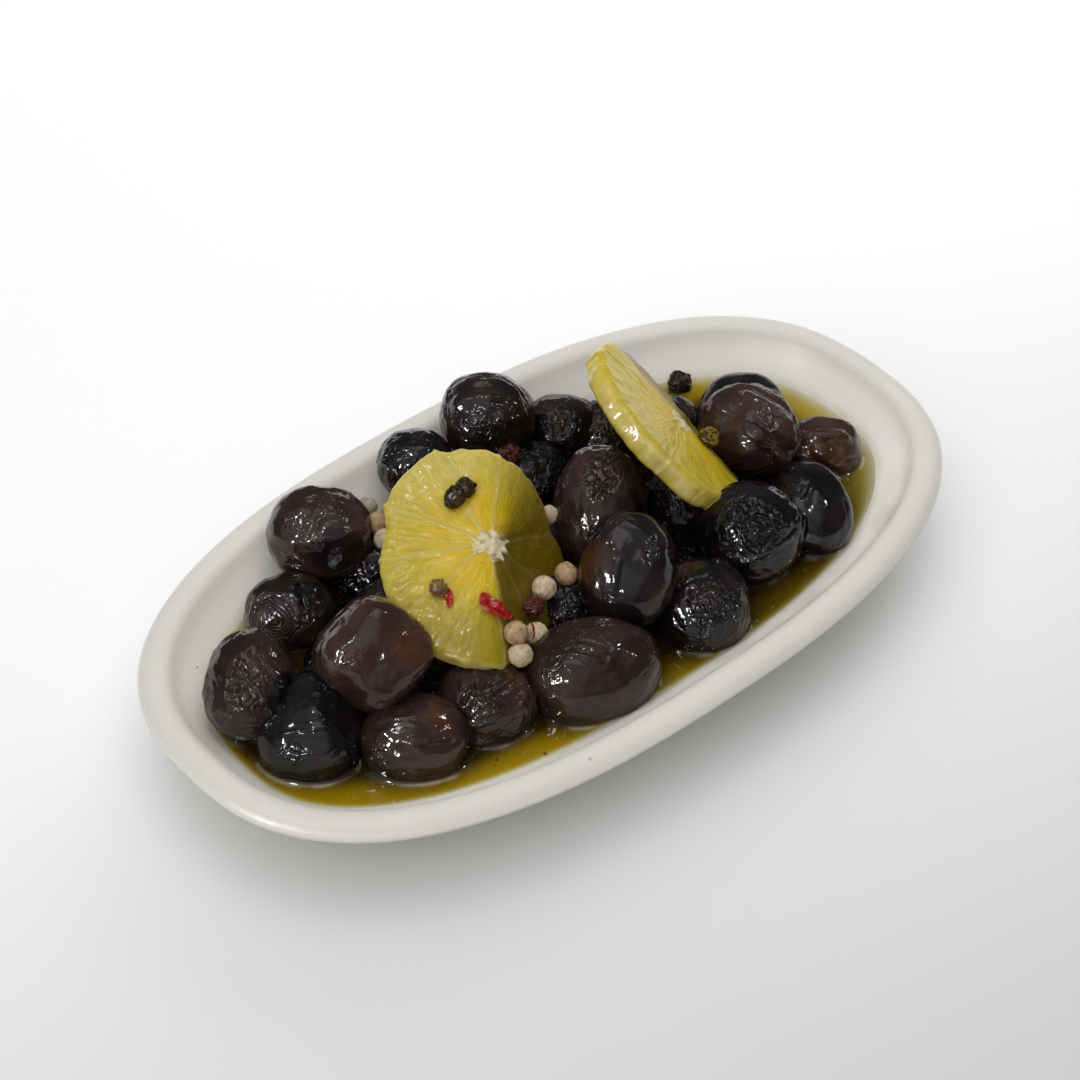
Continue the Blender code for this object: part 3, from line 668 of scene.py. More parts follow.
def flesh_material():
    """Moist translucent lemon pulp, its colour kept on the points."""
    board = Board(
        "lemon_flesh", IOR=1.38, Subsurface_Weight=0.45, Subsurface_Scale=0.0035,
        Coat_Roughness=0.10, Coat_IOR=1.4,
    )
    board.shader.inputs["Subsurface Radius"].default_value = (1.0, 0.7, 0.2)
    place = board.place()
    fine = board.speckle(700.0, 3.0, at=place)
    broad = board.speckle(190.0, 2.0, at=place)
    share = fine.step(0.40, 0.75) * 0.35
    pale = board.mix(share, board.colour("flesh"), board.colour("pale"))
    normal = board.bump(fine * 0.07 + broad * 0.35)
    rough = 0.22 + 0.25 * board.speckle(300.0, 3.0, at=place)
    rough = rough * (1.0 - 0.62 * board.value("side"))
    coat = 0.2 * (1.0 - board.value("side"))
    return board.finish(Base_Color=pale, Roughness=rough, Coat_Weight=coat, Normal=normal)


def corn_material():
    """Oiled wrinkled peppercorn skin with fine pits, its colour kept on the points."""
    board = Board("peppercorn", IOR=1.36)
    place = board.place()
    grain = board.speckle(1300.0, 3.0, 0.6, at=place)
    pits = board.speckle(2600.0, 1.0, at=place).step(0.62, 0.72)
    colour = board.mix(grain.step(0.45, 0.75) * 0.5, board.colour("husk"), board.colour("spot"))
    colour = board.mix(pits * 0.5, colour, board.colour("spot"))
    normal = board.bump(grain * 0.16 - pits * 0.10)
    rough = 0.34 + 0.25 * grain - board.value("wet") * (0.20 + 0.12 * grain)
    return board.finish(Base_Color=colour, Roughness=rough, Normal=normal)


def flake_material():
    """Wet red flake."""
    board = Board("red_flake", IOR=1.4, Coat_Weight=0.6, Coat_Roughness=0.08)
    cloud = board.speckle(900.0, 3.0)
    colour = board.mix(cloud.step(0.3, 0.7), (0.46, 0.008, 0.006), (0.20, 0.003, 0.003))
    return board.finish(Base_Color=colour, Roughness=0.3, Normal=board.bump(cloud, 0.3, 0.0003))


# Dish and oil

def curve_through(points, count):
    """Catmull-Rom curve through a profile's points, sampled evenly along its length."""
    points = np.array(points, float)
    before, after = 2 * points[:1] - points[1:2], 2 * points[-1:] - points[-2:-1]
    padded = np.concatenate([before, points, after])
    dense = []
    for k in range(len(points) - 1):
        t = np.linspace(0.0, 1.0, 24, endpoint=False)[:, None]
        a, b, c, d = padded[k:k + 4]
        dense.append(
            0.5 * (2 * b + (c - a) * t + (2 * a - 5 * b + 4 * c - d) * t ** 2
                   + (3 * b - a - 3 * c + d) * t ** 3)
        )
    dense = np.concatenate(dense + [points[-1:]])
    length = np.concatenate([[0.0], np.cumsum(np.linalg.norm(np.diff(dense, axis=0), axis=1))])
    spots = np.linspace(0.0, length[-1], count)
    return np.stack([np.interp(spots, length, dense[:, k]) for k in range(2)], axis=-1)


def make_dish(material):
    """Superellipse rings along the smooth profile, with a faintly uneven rim and small nicks."""
    foot = curve_through(PROFILE[:4], 22)
    shell = curve_through(PROFILE[3:], 118)[1:]
    profile = np.concatenate([foot, shell])
    columns = 320
    turn = np.linspace(0.0, 2.0 * np.pi, columns, endpoint=False)
    c, s = np.cos(turn), np.sin(turn)
    across, along = outline_ring(turn)
    inset, height = profile[:, :1], profile[:, 1:]
    inner_rows = np.arange(len(inset))[:, None] > LAST_OUTER_ROW
    around = np.stack([3.0 * c, 3.0 * s, 0.0 * c], axis=-1)
    wave = noise(around, 3)[None, :] * 0.14 + noise(around * 9.0, 4)[None, :] * 0.05
    near_rim = smooth(14.0, 21.0, height)
    nicks = np.clip(noise(around * 34.0, 8) - 0.35, 0.0, 1.0)[None, :] * 0.5
    outer = smooth(18.0, 20.5, height) * (inset < 3.0)
    pull = -np.abs(wave) * near_rim - nicks * outer * smooth(0.2, 0.8, 1.0 - np.abs(s))[None, :]
    shift = near_shift((HALF_WIDTH - inset) * along[None, :]) * inner_rows
    shift = shift * smooth(21.5, 13.5, height) * smooth(6.5, 13.5, height)
    x = (HALF_LENGTH - inset + pull - shift) * across[None, :]
    y = (HALF_WIDTH - inset + pull - shift) * along[None, :]
    z = height + 0.0 * x
    sag = noise(np.stack([x * 0.02, y * 0.02, 0.0 * x + 7.0], axis=-1), 12)
    z = z - 0.12 * np.abs(sag) * near_rim
    # Where the inner wall shows fine ribs, near the right front
    inner = smooth(6.2, 7.4, inset) * (1.0 - smooth(9.6, 12.8, inset)) * inner_rows
    angle = np.degrees(np.arctan2(y / HALF_WIDTH, x / HALF_LENGTH))
    where = smooth(-112.0, -88.0, angle) * (1.0 - smooth(-46.0, -26.0, angle))
    ribs = inner * where + 0.0 * x
    points = np.stack([x, y, z], axis=-1)
    # Yellow band at the oil line, partly an oil film and partly a painted reflection of the oil.
    band = np.exp(-((height - OIL_LEVEL - 0.3) / 1.1) ** 2) * (inset > 9.0)
    oil_band_and_reflection = (band * (0.25 + 0.20 * noise(points * 0.15, 21))).clip(0.0, 0.8)
    body = Body()
    ends = np.array([[0.0, 0.0, profile[0, 1]], [0.0, 0.0, profile[-1, 1]]])
    # Where the inner bowl is painted lighter, to make up for the shade inside it.
    bowl_lightened = smooth(22.6, 19.0, height) * inner_rows + 0.0 * x
    values = {"oil_band_and_reflection": oil_band_and_reflection, "ribs": ribs, "bowl_lightened": bowl_lightened}
    for name, value in values.items():
        values[name] = np.append(value.ravel(), [0.0, value[-1, 0]])
    body.ball(points, ends, **values)
    return body.make("dish_glazed", material, "cream_glaze", ["dish"])


def near_shift(y):
    """How much shallower the inner wall stands on the near side, in mm at the oil's level."""
    return 1.5 * smooth(-12.0, -34.0, y)


def inset_of(x, y):
    """Inset from the dish's widest outline at a point, by halving."""
    low, high = np.full(x.shape, -5.0), np.full(x.shape, 56.5)
    for _ in range(30):
        middle = (low + high) / 2.0
        value = (np.abs(x) / (HALF_LENGTH - middle)) ** OUTLINE_POWER
        value = value + (np.abs(y) / (HALF_WIDTH - middle)) ** OUTLINE_POWER
        inside = value < 1.0
        low, high = np.where(inside, middle, low), np.where(inside, high, middle)
    return (low + high) / 2.0


def olive_distance(points, row):
    """Rough distance from an olive's plain shape, negative inside."""
    x, y, z, length, breadth, depth, yaw, tilt, roll, power, taper = row
    local = (points - np.array([x, y, z])) @ turned(yaw, tilt, roll)
    unit = local / (np.array([length, breadth, depth]) / 2.0)
    share = 1.0 - taper * np.clip(unit[..., 0], -1.0, 1.0)
    unit = np.concatenate([unit[..., :1], unit[..., 1:] / share[..., None]], axis=-1)
    level = (np.abs(unit) ** power).sum(axis=-1) ** (1.0 / power)
    return np.linalg.norm(local, axis=-1) * (1.0 - 1.0 / np.maximum(level, 1e-3))


def make_oil(material):
    """Pool surface on a square grid of points, drawn up where it wets the olives and the
    dish, and coloured by depth, with painted shade near and between the olives and a pale
    painted highlight line where it climbs them. Cells that lie well inside an olive or the
    wall are left out."""
    across = np.arange(-88.0, 88.0 + POOL_STEP, POOL_STEP)
    along = np.arange(-45.0, 45.0 + POOL_STEP, POOL_STEP)
    x, y = np.meshgrid(across, along)
    flat = np.stack([x, y, np.full(x.shape, OIL_LEVEL)], axis=-1)
    near, pull, soft = np.full(x.shape, 99.0), np.zeros(x.shape), np.zeros(x.shape)
    around = np.zeros(x.shape)
    for row in OLIVES.values():
        away = olive_distance(flat, row) + 0.30
        near = np.minimum(near, away)
        outside = np.maximum(away, 0.0)
        pull = pull + np.exp(-(outside / 0.85) ** 1.1)
        soft = soft + np.exp(-outside / 2.2)
        around = around + np.exp(-outside / 6.0)
    inset = inset_of(x, y)
    wall = inset - WALL_AT_OIL - near_shift(y)
    rise = 0.95 * np.minimum(pull, 1.35) + 0.10 * np.exp(-np.maximum(wall, 0.0) / 0.8)
    ripple = noise(flat * 0.05, 31) * 0.05
    z = OIL_LEVEL + np.minimum(rise, 1.15) + ripple * smooth(0.0, 3.0, wall)
    insets = [pair[0] for pair in INNER_WALL]
    heights = [pair[1] for pair in INNER_WALL]
    depth = np.maximum(OIL_LEVEL - np.interp(inset - near_shift(y), insets, heights), 0.0)
    # The wall shows through a thin layer, wider at the right end where the light comes across
    fade = 0.55 + 2.6 * smooth(60.0, 80.0, x) + 1.2 * smooth(20.0, 36.0, y)
    cover = 1.0 - np.exp(-(depth / fade)[..., None] * np.array([0.75, 0.85, 1.7]))
    open_tone = np.array([0.285, 0.180, 0.0005])
    shaded_oil_tone = np.array([0.020, 0.0125, 0.0006])
    wall_tone = np.array([0.56, 0.53, 0.42])
    # Painted shade on the oil: darker close to the olives and darkest in the narrow gaps between
    # them.
    lit_outside_gaps = 1.0 - smooth(0.75, 1.55, around)
    # Painted shade in the hollow between the olives at the left.
    lit_outside_gaps = lit_outside_gaps * (1.0 - np.exp(-((x + 60.0) ** 2 + (y - 14.0) ** 2) / 90.0))
    # Painted shade on the oil towards the front right.
    right = 1.0 - 0.72 * smooth(-10.0, 20.0, x) * smooth(-10.0, -25.0, y)
    shade = np.exp(-1.0 * soft) * lit_outside_gaps * right
    body_tone = blend(shaded_oil_tone, open_tone, shade)
    # The wall seen through thin oil gets the same painted shade.
    wall_tone = wall_tone * (0.60 + 0.40 * shade)[..., None]
    colour = wall_tone + (body_tone - wall_tone) * cover
    colour = blend(colour, (0.005, 0.004, 0.003), 0.95 * (1.0 - smooth(0.1, 1.0, near)))
    # Painted highlight: a pale line where the oil starts to climb an olive, standing in for light
    # mirrored by the meniscus
    broken = smooth(-0.35, 0.35, noise(flat * 0.22, 33))
    line = np.exp(-((pull - 0.25) / 0.09) ** 2) * broken * lit_outside_gaps * smooth(0.4, 1.6, wall)
    colour = blend(colour, (0.60, 0.57, 0.42), 0.75 * line)
    for spot_x, spot_y, size in OIL_SPECKS:
        away = np.hypot(x - spot_x, y - spot_y)
        fleck = 1.0 - smooth(0.6 * size, 1.2 * size, away)
        colour = blend(colour, (0.05, 0.012, 0.004), 0.85 * fleck)
    count, columns = x.shape
    quads = grid_quads(count, columns, False)
    keep = (near > -1.6) & (inset > POOL_EDGE + near_shift(y))
    kept = quads[keep.ravel()[quads].all(axis=1)]
    used, kept = np.unique(kept, return_inverse=True)
    points = np.stack([x, y, z], axis=-1).reshape(-1, 3)[used]
    body = Body()
    body.add(points, kept.reshape(-1, 4), depth_colour=colour.reshape(-1, 3)[used])
    return body.make("oil_pool", material, "olive_oil", ["oil"])


# Olives and peppercorns

def ball_grid(rows, columns):
    """Unit directions in rows from one end of the length to the other, then the two ends."""
    lean = np.linspace(0.0, np.pi, rows + 2)[1:-1][:, None]
    turn = np.linspace(0.0, 2.0 * np.pi, columns, endpoint=False)[None, :]
    unit = np.stack(
        [np.cos(lean) + 0.0 * turn, np.sin(lean) * np.cos(turn), np.sin(lean) * np.sin(turn)],
        axis=-1,
    )
    ends = [[-1.0, 0.0, 0.0], [1.0, 0.0, 0.0]]
    return np.concatenate([unit[::-1].reshape(-1, 3), ends])


def facets(unit, directions, depths):
    """Radius factor of a ball cut by soft-edged planes: one over the power mean of 1 and
    of each plane's reach, so that it is flat inside a facet and rounded at its border."""
    reach = np.maximum(unit @ np.array(directions).T, 0.0) / (1.0 - np.array(depths))
    return (1.0 + (reach ** FACET_POWER).sum(axis=-1)) ** (-1.0 / FACET_POWER)


def seen(right, up):
    """Direction of a place on a ball as seen from the front: to the right and up, out to 1."""
    return RIGHT * right + UP * up + BACK * math.sqrt(max(0.0, 1.0 - right * right - up * up))


def angle_between(world, toward):
    """Angle from each direction to one direction."""
    return np.arccos(np.clip(world @ toward, -1.0, 1.0))


def arc_angle(world, first, last):
    """Angle from each direction to the nearest of 9 places along an arc."""
    share = np.linspace(0.0, 1.0, 9)[:, None]
    line = first * (1.0 - share) + last * share
    line = line / np.linalg.norm(line, axis=1, keepdims=True)
    ends = np.arccos(np.clip(world @ line.T, -1.0, 1.0)).min(axis=-1)
    across = np.cross(first, last)
    across = across / np.linalg.norm(across)
    level = np.abs(np.arcsin(np.clip(world @ across, -1.0, 1.0)))
    within = ends < np.hypot(level, 1.0 / 12.0 * angle_between(first[None], last)[0] + 0.01)
    return np.where(within, level, ends)


def olive_skin(unit, row, look, seed):
    """Points and point values of an olive for unit directions.
    A plain squarish ball is cut by soft facets, folded by crests of warped noise, then
    pushed in or out under its marks. Wrinkles finer than the mesh are left to the skin
    material, which reads how strong they are from the values."""
    x, y, z, length, breadth, depth, yaw, tilt, roll, power, taper = row
    brown, count, cut, high, often, stretch, cover, worms, marks = look
    matrix = turned(yaw, tilt, roll)
    half = np.array([length, breadth, depth]) / 2.0
    plain = unit / ((np.abs(unit) ** power).sum(axis=-1) ** (1.0 / power))[..., None]
    side = 1.0 - taper * plain[..., :1]
    plain = np.concatenate([plain[..., :1], plain[..., 1:] * side], axis=-1) * half
    world = unit @ matrix.T
    chance = np.random.default_rng(seed)
    flats = chance.normal(size=(count, 3))
    flats = list(flats / np.linalg.norm(flats, axis=1, keepdims=True))
    depths = list(cut * chance.uniform(0.5, 1.3, count))
    for mark in marks:
        if mark[0] == "facet":
            flats.append(seen(mark[1], mark[2]) @ matrix)
            depths.append(mark[4])
    change = (facets(unit, flats, depths) - 1.0) * half.mean()
    change = change + 0.35 * np.minimum(noise(unit * 1.3 + seed * 1.7, seed), 0.25)
    change = change + 0.22 * noise(unit * 3.1 + seed * 0.7, seed + 1)
    field = warped(unit * np.array([stretch, 1.0, 1.0]) * often, 0.55, seed + 2)
    slow = noise(unit * 1.1 + 3.0 * seed, seed + 7) * 0.5 + 0.5
    where = smooth(0.62 - cover, 0.95 - cover, slow)
    change = change + 1.7 * high * where * crests(noise(field, seed + 5), 0.32)
    change = change + 0.9 * high * where * crests(noise(field * 2.1 + 4.0, seed + 6), 0.34)
    tint = brown + 0.30 * noise(unit * 1.6 + 8.0, seed + 12)
    rust, swirl = np.zeros(tint.shape), np.zeros(tint.shape)
    fine = worms * (0.6 + 0.8 * where)
    maze, rings, folds = np.zeros(tint.shape), np.zeros(tint.shape), np.zeros(tint.shape)
    wobble = noise(unit * 2.2 + 5.0, seed + 8) * 0.12 + noise(unit * 5.0, seed + 9) * 0.04
    for mark in marks:
        kind, right, up = mark[:3]
        if kind == "crease":
            line = arc_angle(world, seen(right, up), seen(mark[3], mark[4])) + 0.3 * wobble
            reach = line / mark[6]
            beside = np.exp(-(np.abs(reach) - 2.2) ** 2)
            change = change + mark[5] * (np.exp(-reach ** 2) - 0.55 * beside)
            continue
        size, strength = mark[3:5]
        away = angle_between(world, seen(right, up)) + wobble
        mask = 1.0 - smooth(size * 0.72, size * 1.05, away)
        if kind == "worms":
            fine = np.maximum(fine, mask * strength)
        elif kind == "maze":
            maze = np.maximum(maze, mask * strength)
            rim = np.exp(-((away - size * 0.98) / 0.09) ** 2)
            change = change + 0.28 * rim - 0.12 * mask
        elif kind == "rings":
            rings = np.maximum(rings, mask * strength)
            turn = 0.9 * noise(warped(unit * 1.8, 0.3, seed + 13), seed + 14)
            swirl = away * half.mean() / 0.80 * 2.0 * np.pi + 2.6 * turn
            rim = np.exp(-((away - size * 0.98) / 0.07) ** 2)
            change = change + 0.35 * rim - 0.15 * mask
        elif kind in ("folds", "ripples"):
            folds = np.maximum(folds, mask * strength)
        elif kind == "dent":
            change = change - strength * np.exp(-(away / size) ** 2)
        elif kind == "black":
            tint = tint - mask * strength
        elif kind == "rust":
            rust = np.maximum(rust, (1.0 - smooth(0.2 * size, 1.2 * size, away)) * strength)
    along_up = any(mark[0] == "ripples" for mark in marks)
    stripes = world @ UP if along_up else unit[..., 1] * 0.8 + unit[..., 2] * 0.6
    lines = np.stack([stripes * 3.6, unit[..., 0] * 0.7, unit[..., 1] * 0.6], axis=-1)
    lines = warped(lines, 0.45, seed + 15)
    change = change + 0.55 * folds * crests(noise(lines, seed + 16), 0.42)
    distance = np.linalg.norm(plain, axis=-1, keepdims=True)
    points = plain * (1.0 + (change - 0.05)[..., None] / distance)
    values = {
        "local": points + 40.0 * chance.uniform(size=3), "swirl": swirl, "rings": rings,
        "maze": maze, "worms": fine, "brown": np.clip(tint, 0.0, 1.0), "rust": rust,
    }
    return points @ matrix.T + np.array([x, y, z]), values


def make_olives(name, chosen, grid, material):
    """One piece of several olives."""
    body, unit = Body(), ball_grid(*grid)
    for olive in chosen:
        look = OLIVE_LOOKS.get(olive, PLAIN_LOOK)
        seed = 17 * list(OLIVES).index(olive) + 3
        points, values = olive_skin(unit, OLIVES[olive], look, seed)
        body.listed_ball(points, grid[1], **values)
    return body.make(name, material, "olive_skin", ["olive_heap"])


def make_core(material):
    """Dark mound under the olives, in superellipse rings roughened by noise."""
    levels = curve_through([(k, row[4]) for k, row in enumerate(CORE)], 26)
    rings = []
    across, along = outline_ring(np.linspace(0.0, 2.0 * np.pi, 120, endpoint=False))
    for k, height in levels:
        low = [np.interp(k, range(len(CORE)), [row[j] for row in CORE]) for j in range(4)]
        x, y = low[0] + low[2] * across, low[1] + low[3] * along
        rings.append(np.stack([x, y, np.full(len(x), height)], axis=-1))
    points = np.stack(rings)
    bumps = noise(points * 0.09, 41)
    points[..., 2] = points[..., 2] - 0.8 * np.abs(bumps) * smooth(8.0, 14.0, points[..., 2])
    ends = np.array([[CORE[0][0], CORE[0][1], CORE[0][4]], [0.0, CORE[-1][1], CORE[-1][4] + 0.2]])
    local = np.concatenate([points.reshape(-1, 3), ends])
    flat = np.zeros(len(local))
    body = Body()
    body.ball(
        points, ends, local=local, swirl=flat, rings=flat, maze=flat, worms=flat + 0.3,
        brown=flat + 0.05, rust=flat,
    )
    return body.make("heap_core", material, "olive_skin", ["olive_heap"])


def corn_skin(unit, middle, axes, half, kind, seed):
    """Points, husk colour and spot colour of a peppercorn: a ball with a net of low crests,
    deep and lumpy on the dark kinds, with a small dimple at one end."""
    field = warped(unit * 1.7 + seed, 0.5, seed)
    net = crests(noise(field, seed + 1), 0.42)
    slow = noise(unit * 1.5 + 2.0 * seed, seed + 2)
    rugged = kind in ("black", "red", "gold", "olive")
    depth = 0.17 if rugged else 0.026
    change = depth * (net - 0.45) + (0.16 if rugged else 0.06) * slow
    change = change - (0.22 if rugged else 0.08) * np.exp(-((unit[..., 0] - 1.0) / 0.12) ** 2)
    points = unit * (1.0 + change[..., None]) * half
    points = points @ axes.T + np.asarray(middle)
    light, dark, deep = (np.array(colour) for colour in CORN_COLOURS[kind])
    mottle = 0.5 + 0.5 * noise(unit * 2.6 + seed, seed + 3)
    share = smooth(0.05, 0.7, net) if rugged else mottle
    wet = np.full(len(points), 1.0 if rugged else 0.0)
    return points, blend(dark, light, share), blend(deep, dark, share), wet


def make_corns(name, rows, nodes, material):
    """One piece of several peppercorns: middle, axes, half sizes and kind each."""
    columns = 60
    body, unit = Body(), ball_grid(40, columns)
    for k, (middle, axes, half, kind) in enumerate(rows):
        seed = 11 * k + 5 + len(name)
        points, husk, spot, wet = corn_skin(unit, middle, axes, half, kind, seed)
        body.listed_ball(points, columns, husk=husk, spot=spot, wet=wet)
    return body.make(name, material, "olive_skin", nodes)


# Lemon slices

def outline_radius(segments, degrees):
    """Radius of a slice's scalloped outline in a direction."""
    angles, radii = [], []
    for k, (angle, at_membrane, at_middle) in enumerate(segments):
        following = segments[(k + 1) % len(segments)]
        end = following[0] + (360.0 if k == len(segments) - 1 else 0.0)
        for share, radius in (
            (0.0, at_membrane),
            (0.22, 0.35 * at_membrane + 0.65 * at_middle),
            (0.5, at_middle),
            (0.78, 0.35 * following[1] + 0.65 * at_middle),
        ):
            angles.append(angle + share * (end - angle))
            radii.append(radius)
    return np.interp(degrees, angles, radii, period=360.0)


def bent(across, bend, fold):
    """Distance along the slice turned into a place, a drop and a lean, by adding up steps."""
    steps = np.arange(-40.0, 40.25, 0.25)
    share = smooth(-fold / 2.0, fold / 2.0, steps)
    slope = np.radians(bend[0] + (bend[1] - bend[0]) * share)
    place, drop = np.cumsum(np.cos(slope)) * 0.25, np.cumsum(np.sin(slope)) * 0.25
    middle = len(steps) // 2
    place, drop = place - place[middle], drop - drop[middle]
    return (np.interp(across, steps, value) for value in (place, drop, slope))


def slice_axes(row):
    """Right, up and normal of a slice."""
    right, up = np.array(row["right"]), np.array(row["up"])
    return right, up, np.cross(right, up)


def on_slice(row, across, along, lift):
    """Points at a height over the slice's middle sheet, for arrays of places on it."""
    place, drop, lean = bent(across, row["bend"], row["fold"])
    place = place - np.sin(lean) * lift
    out = drop + np.cos(lean) * lift
    points = np.array(row["pith"])
    for part, axis in zip((place, along + 0.0 * place, out), slice_axes(row)):
        points = points + np.asarray(part)[..., None] * axis
    return points


def pulp(row, theta, radius, outer, seed):
    """Relief, and shares of membrane, pith and fibre, at places on a cut face.
    Membranes run from the pith along their directions, and between them the juice sacs
    are ridges of noise stretched along the radius."""
    angles = np.array([segment[0] for segment in row["segments"]])
    degrees = np.degrees(theta) % 360.0
    flat = np.stack([radius * np.cos(theta), radius * np.sin(theta), 0.0 * radius], axis=-1)
    wobble = noise(flat * 0.16, seed) * 0.8
    gap = (degrees[..., None] - angles + 180.0) % 360.0 - 180.0
    nearest = np.abs(gap).argmin(axis=-1)
    turn = np.take_along_axis(gap, nearest[..., None], axis=-1)[..., 0]
    away = np.abs(radius * np.sin(np.radians(turn)) + wobble * smooth(2.0, 10.0, radius))
    membrane = np.exp(-(away / 0.42) ** 2)
    valley = np.exp(-(away / 1.5) ** 2)
    star = 2.6 + 1.3 * noise(flat * 0.50 + 3.0, seed + 1) + 1.1 * membrane
    pith = 1.0 - smooth(star - 0.7, star + 0.6, radius)
    # The sacs fan out from the pith and lean a little towards the middle of their segment
    lean = np.radians(turn) * 0.25 * smooth(0.0, 20.0, radius)
    fan = (theta - lean) * 9.5
    sacs = np.stack([fan * 1.7, radius * 0.17, nearest * 3.7], axis=-1)
    sacs = sacs + 0.35 * noise(flat * 0.35, seed + 2)[..., None]
    fibre = np.clip(1.0 - np.abs(noise(sacs, seed + 3)) / 0.55, 0.0, 1.0)
    fine = np.clip(1.0 - np.abs(noise(sacs * np.array([2.2, 1.5, 1.0]), seed + 4)) / 0.5, 0.0, 1.0)
    rim = smooth(0.0, 2.2, outer - radius)
    relief = 0.070 * (fibre - 0.5) + 0.030 * (fine - 0.5) + 0.10 * membrane - 0.20 * valley
    relief = relief + 0.16 * noise(flat * 0.22, seed + 8) + 0.06 * noise(flat * 0.6, seed + 6)
    relief = relief * (1.0 - pith) + pith * (0.10 + 0.42 * noise(flat * 0.75, seed + 5))
    relief = relief * rim
    return relief, membrane * (1.0 - pith), pith, fibre, fine, rim


def slice_colours(across, along, marks, tones):
    """Pulp colour and its paler mate from the relief's marks and the tones: bright flesh,
    its tone towards the edge, dark flesh, the dark one's share and the rim's paleness."""
    membrane, pith, fibre, fine, rim = marks
    bright, outer_tone, dark, share, edging = tones
    radius = np.hypot(across, along)
    bright = blend(bright, outer_tone, 0.80 * smooth(5.0, 23.0, radius))
    flesh = blend(bright, dark, share)
    flesh = flesh * (0.90 + 0.14 * fibre + 0.08 * (fine - 0.5))[..., None]
    pale_tone = np.array([0.50, 0.42, 0.12]) * (1.0 - 0.70 * share)[..., None]
    flesh = blend(flesh, pale_tone, 0.60 * membrane)
    flesh = blend(flesh, pale_tone, 0.55 * edging * (1.0 - rim) ** 2)
    flesh = blend(flesh, (0.66, 0.59, 0.26), edging * (0.62 - 0.35 * share) * (1.0 - rim) ** 9)
    flat = np.stack([across, along, 0.0 * across], axis=-1)
    hollow = smooth(0.10, 0.45, noise(flat * 0.95 + 2.0, 91))
    white = np.array([0.66, 0.60, 0.42]) * (1.0 - 0.45 * hollow)[..., None]
    flesh = blend(flesh, white, 0.88 * pith)
    rusty = smooth(0.38, 0.55, noise(flat * 0.8 + 7.0, 92)) * np.exp(-((radius - 3.4) / 1.2) ** 2)
    flesh = blend(flesh, (0.42, 0.13, 0.02), 0.8 * rusty)
    pale = flesh + (pale_tone - flesh) * 0.4
    return np.clip(flesh, 0.0, 1.0), np.clip(pale, 0.0, 1.0)


def make_slice(name, row, tones, seed, slot_node, material):
    """A closed slice in rows from the upper face's middle over the edge to the lower one's."""
    columns, face_rows, edge_rows, under_rows = 600, 84, 26, 16
    # Shares of the radius and heights, with the edge bowed out from 0.93 of the radius
    face = np.linspace(0.035, 0.93, face_rows)
    bow = np.linspace(0.0, np.pi, edge_rows)
    edge_share = 0.93 + 0.07 * np.sin(bow)
    edge_height = np.sign(np.cos(bow)) * np.abs(np.cos(bow)) ** 0.55
    under = np.linspace(0.93, 0.06, under_rows)
    share = np.concatenate([face, edge_share[1:-1], under])[:, None]
    level = [np.ones(face_rows), edge_height[1:-1], -np.ones(under_rows)]
    height = np.concatenate(level)[:, None]
    degrees = np.arange(columns) * 360.0 / columns
    theta = np.radians(degrees)[None, :] + 0.0 * share
    outer = outline_radius(row["segments"], degrees)[None, :]
    level = height + 0.0 * theta
    ragged = np.stack([np.cos(theta) * 7.0, np.sin(theta) * 7.0, level], axis=-1)
    ragged = noise(ragged, seed + 7)
    tips = np.zeros(columns)
    for angle, _, _ in row["segments"]:
        gap = (degrees - angle + 180.0) % 360.0 - 180.0
        tips = tips + 0.5 * np.exp(-(gap / 1.3) ** 2)
    outer = outer + tips[None, :] * smooth(0.85, 1.0, share)
    radius = share * (outer + 0.45 * ragged * smooth(0.7, 1.0, share) - 0.2)
    relief, membrane, pith, fibre, fine, rim = pulp(row, theta, radius, outer, seed)
    relief = relief * smooth(0.2, 0.9, np.abs(height))
    side_sacs = noise(np.stack([theta * 22.0, level * 0.8, 0.0 * theta + 3.0], axis=-1), seed + 9)
    radius = radius + 0.16 * side_sacs * (1.0 - smooth(0.0, 0.9, np.abs(height)))
    across, along = radius * np.cos(theta), radius * np.sin(theta)
    half = row["thick"] / 2.0
    lift = height * (half - 0.15) + np.sign(height) * relief
    points = on_slice(row, across, along, lift)
    marks = (membrane, pith, fibre, fine, rim)
    flesh, pale = slice_colours(across, along, marks, tones(across, along, height))
    ends = on_slice(row, np.zeros(2), np.zeros(2), np.array([half - 0.1, 0.1 - half]))
    body = Body()
    add = np.stack([flesh[0].mean(axis=0), flesh[-1].mean(axis=0)])
    flesh = np.concatenate([flesh.reshape(-1, 3), add])
    pale = np.concatenate([pale.reshape(-1, 3), add])
    side = (1.0 - smooth(0.3, 1.0, np.abs(height)))[::-1] + 0.0 * across
    side = np.append(side.ravel(), [0.0, 0.0])
    values = {"flesh": flip(flesh, columns), "pale": flip(pale, columns), "side": side}
    body.ball(points[::-1], ends[::-1], **values)
    return body.make(name, material, "lemon_flesh", [slot_node])


def flip(values, columns):
    """Point values with their rows in the other order, the two ends swapped too."""
    grid = values[:-2].reshape(-1, columns, 3)[::-1]
    return np.concatenate([grid.reshape(-1, 3), values[-2:][::-1]])


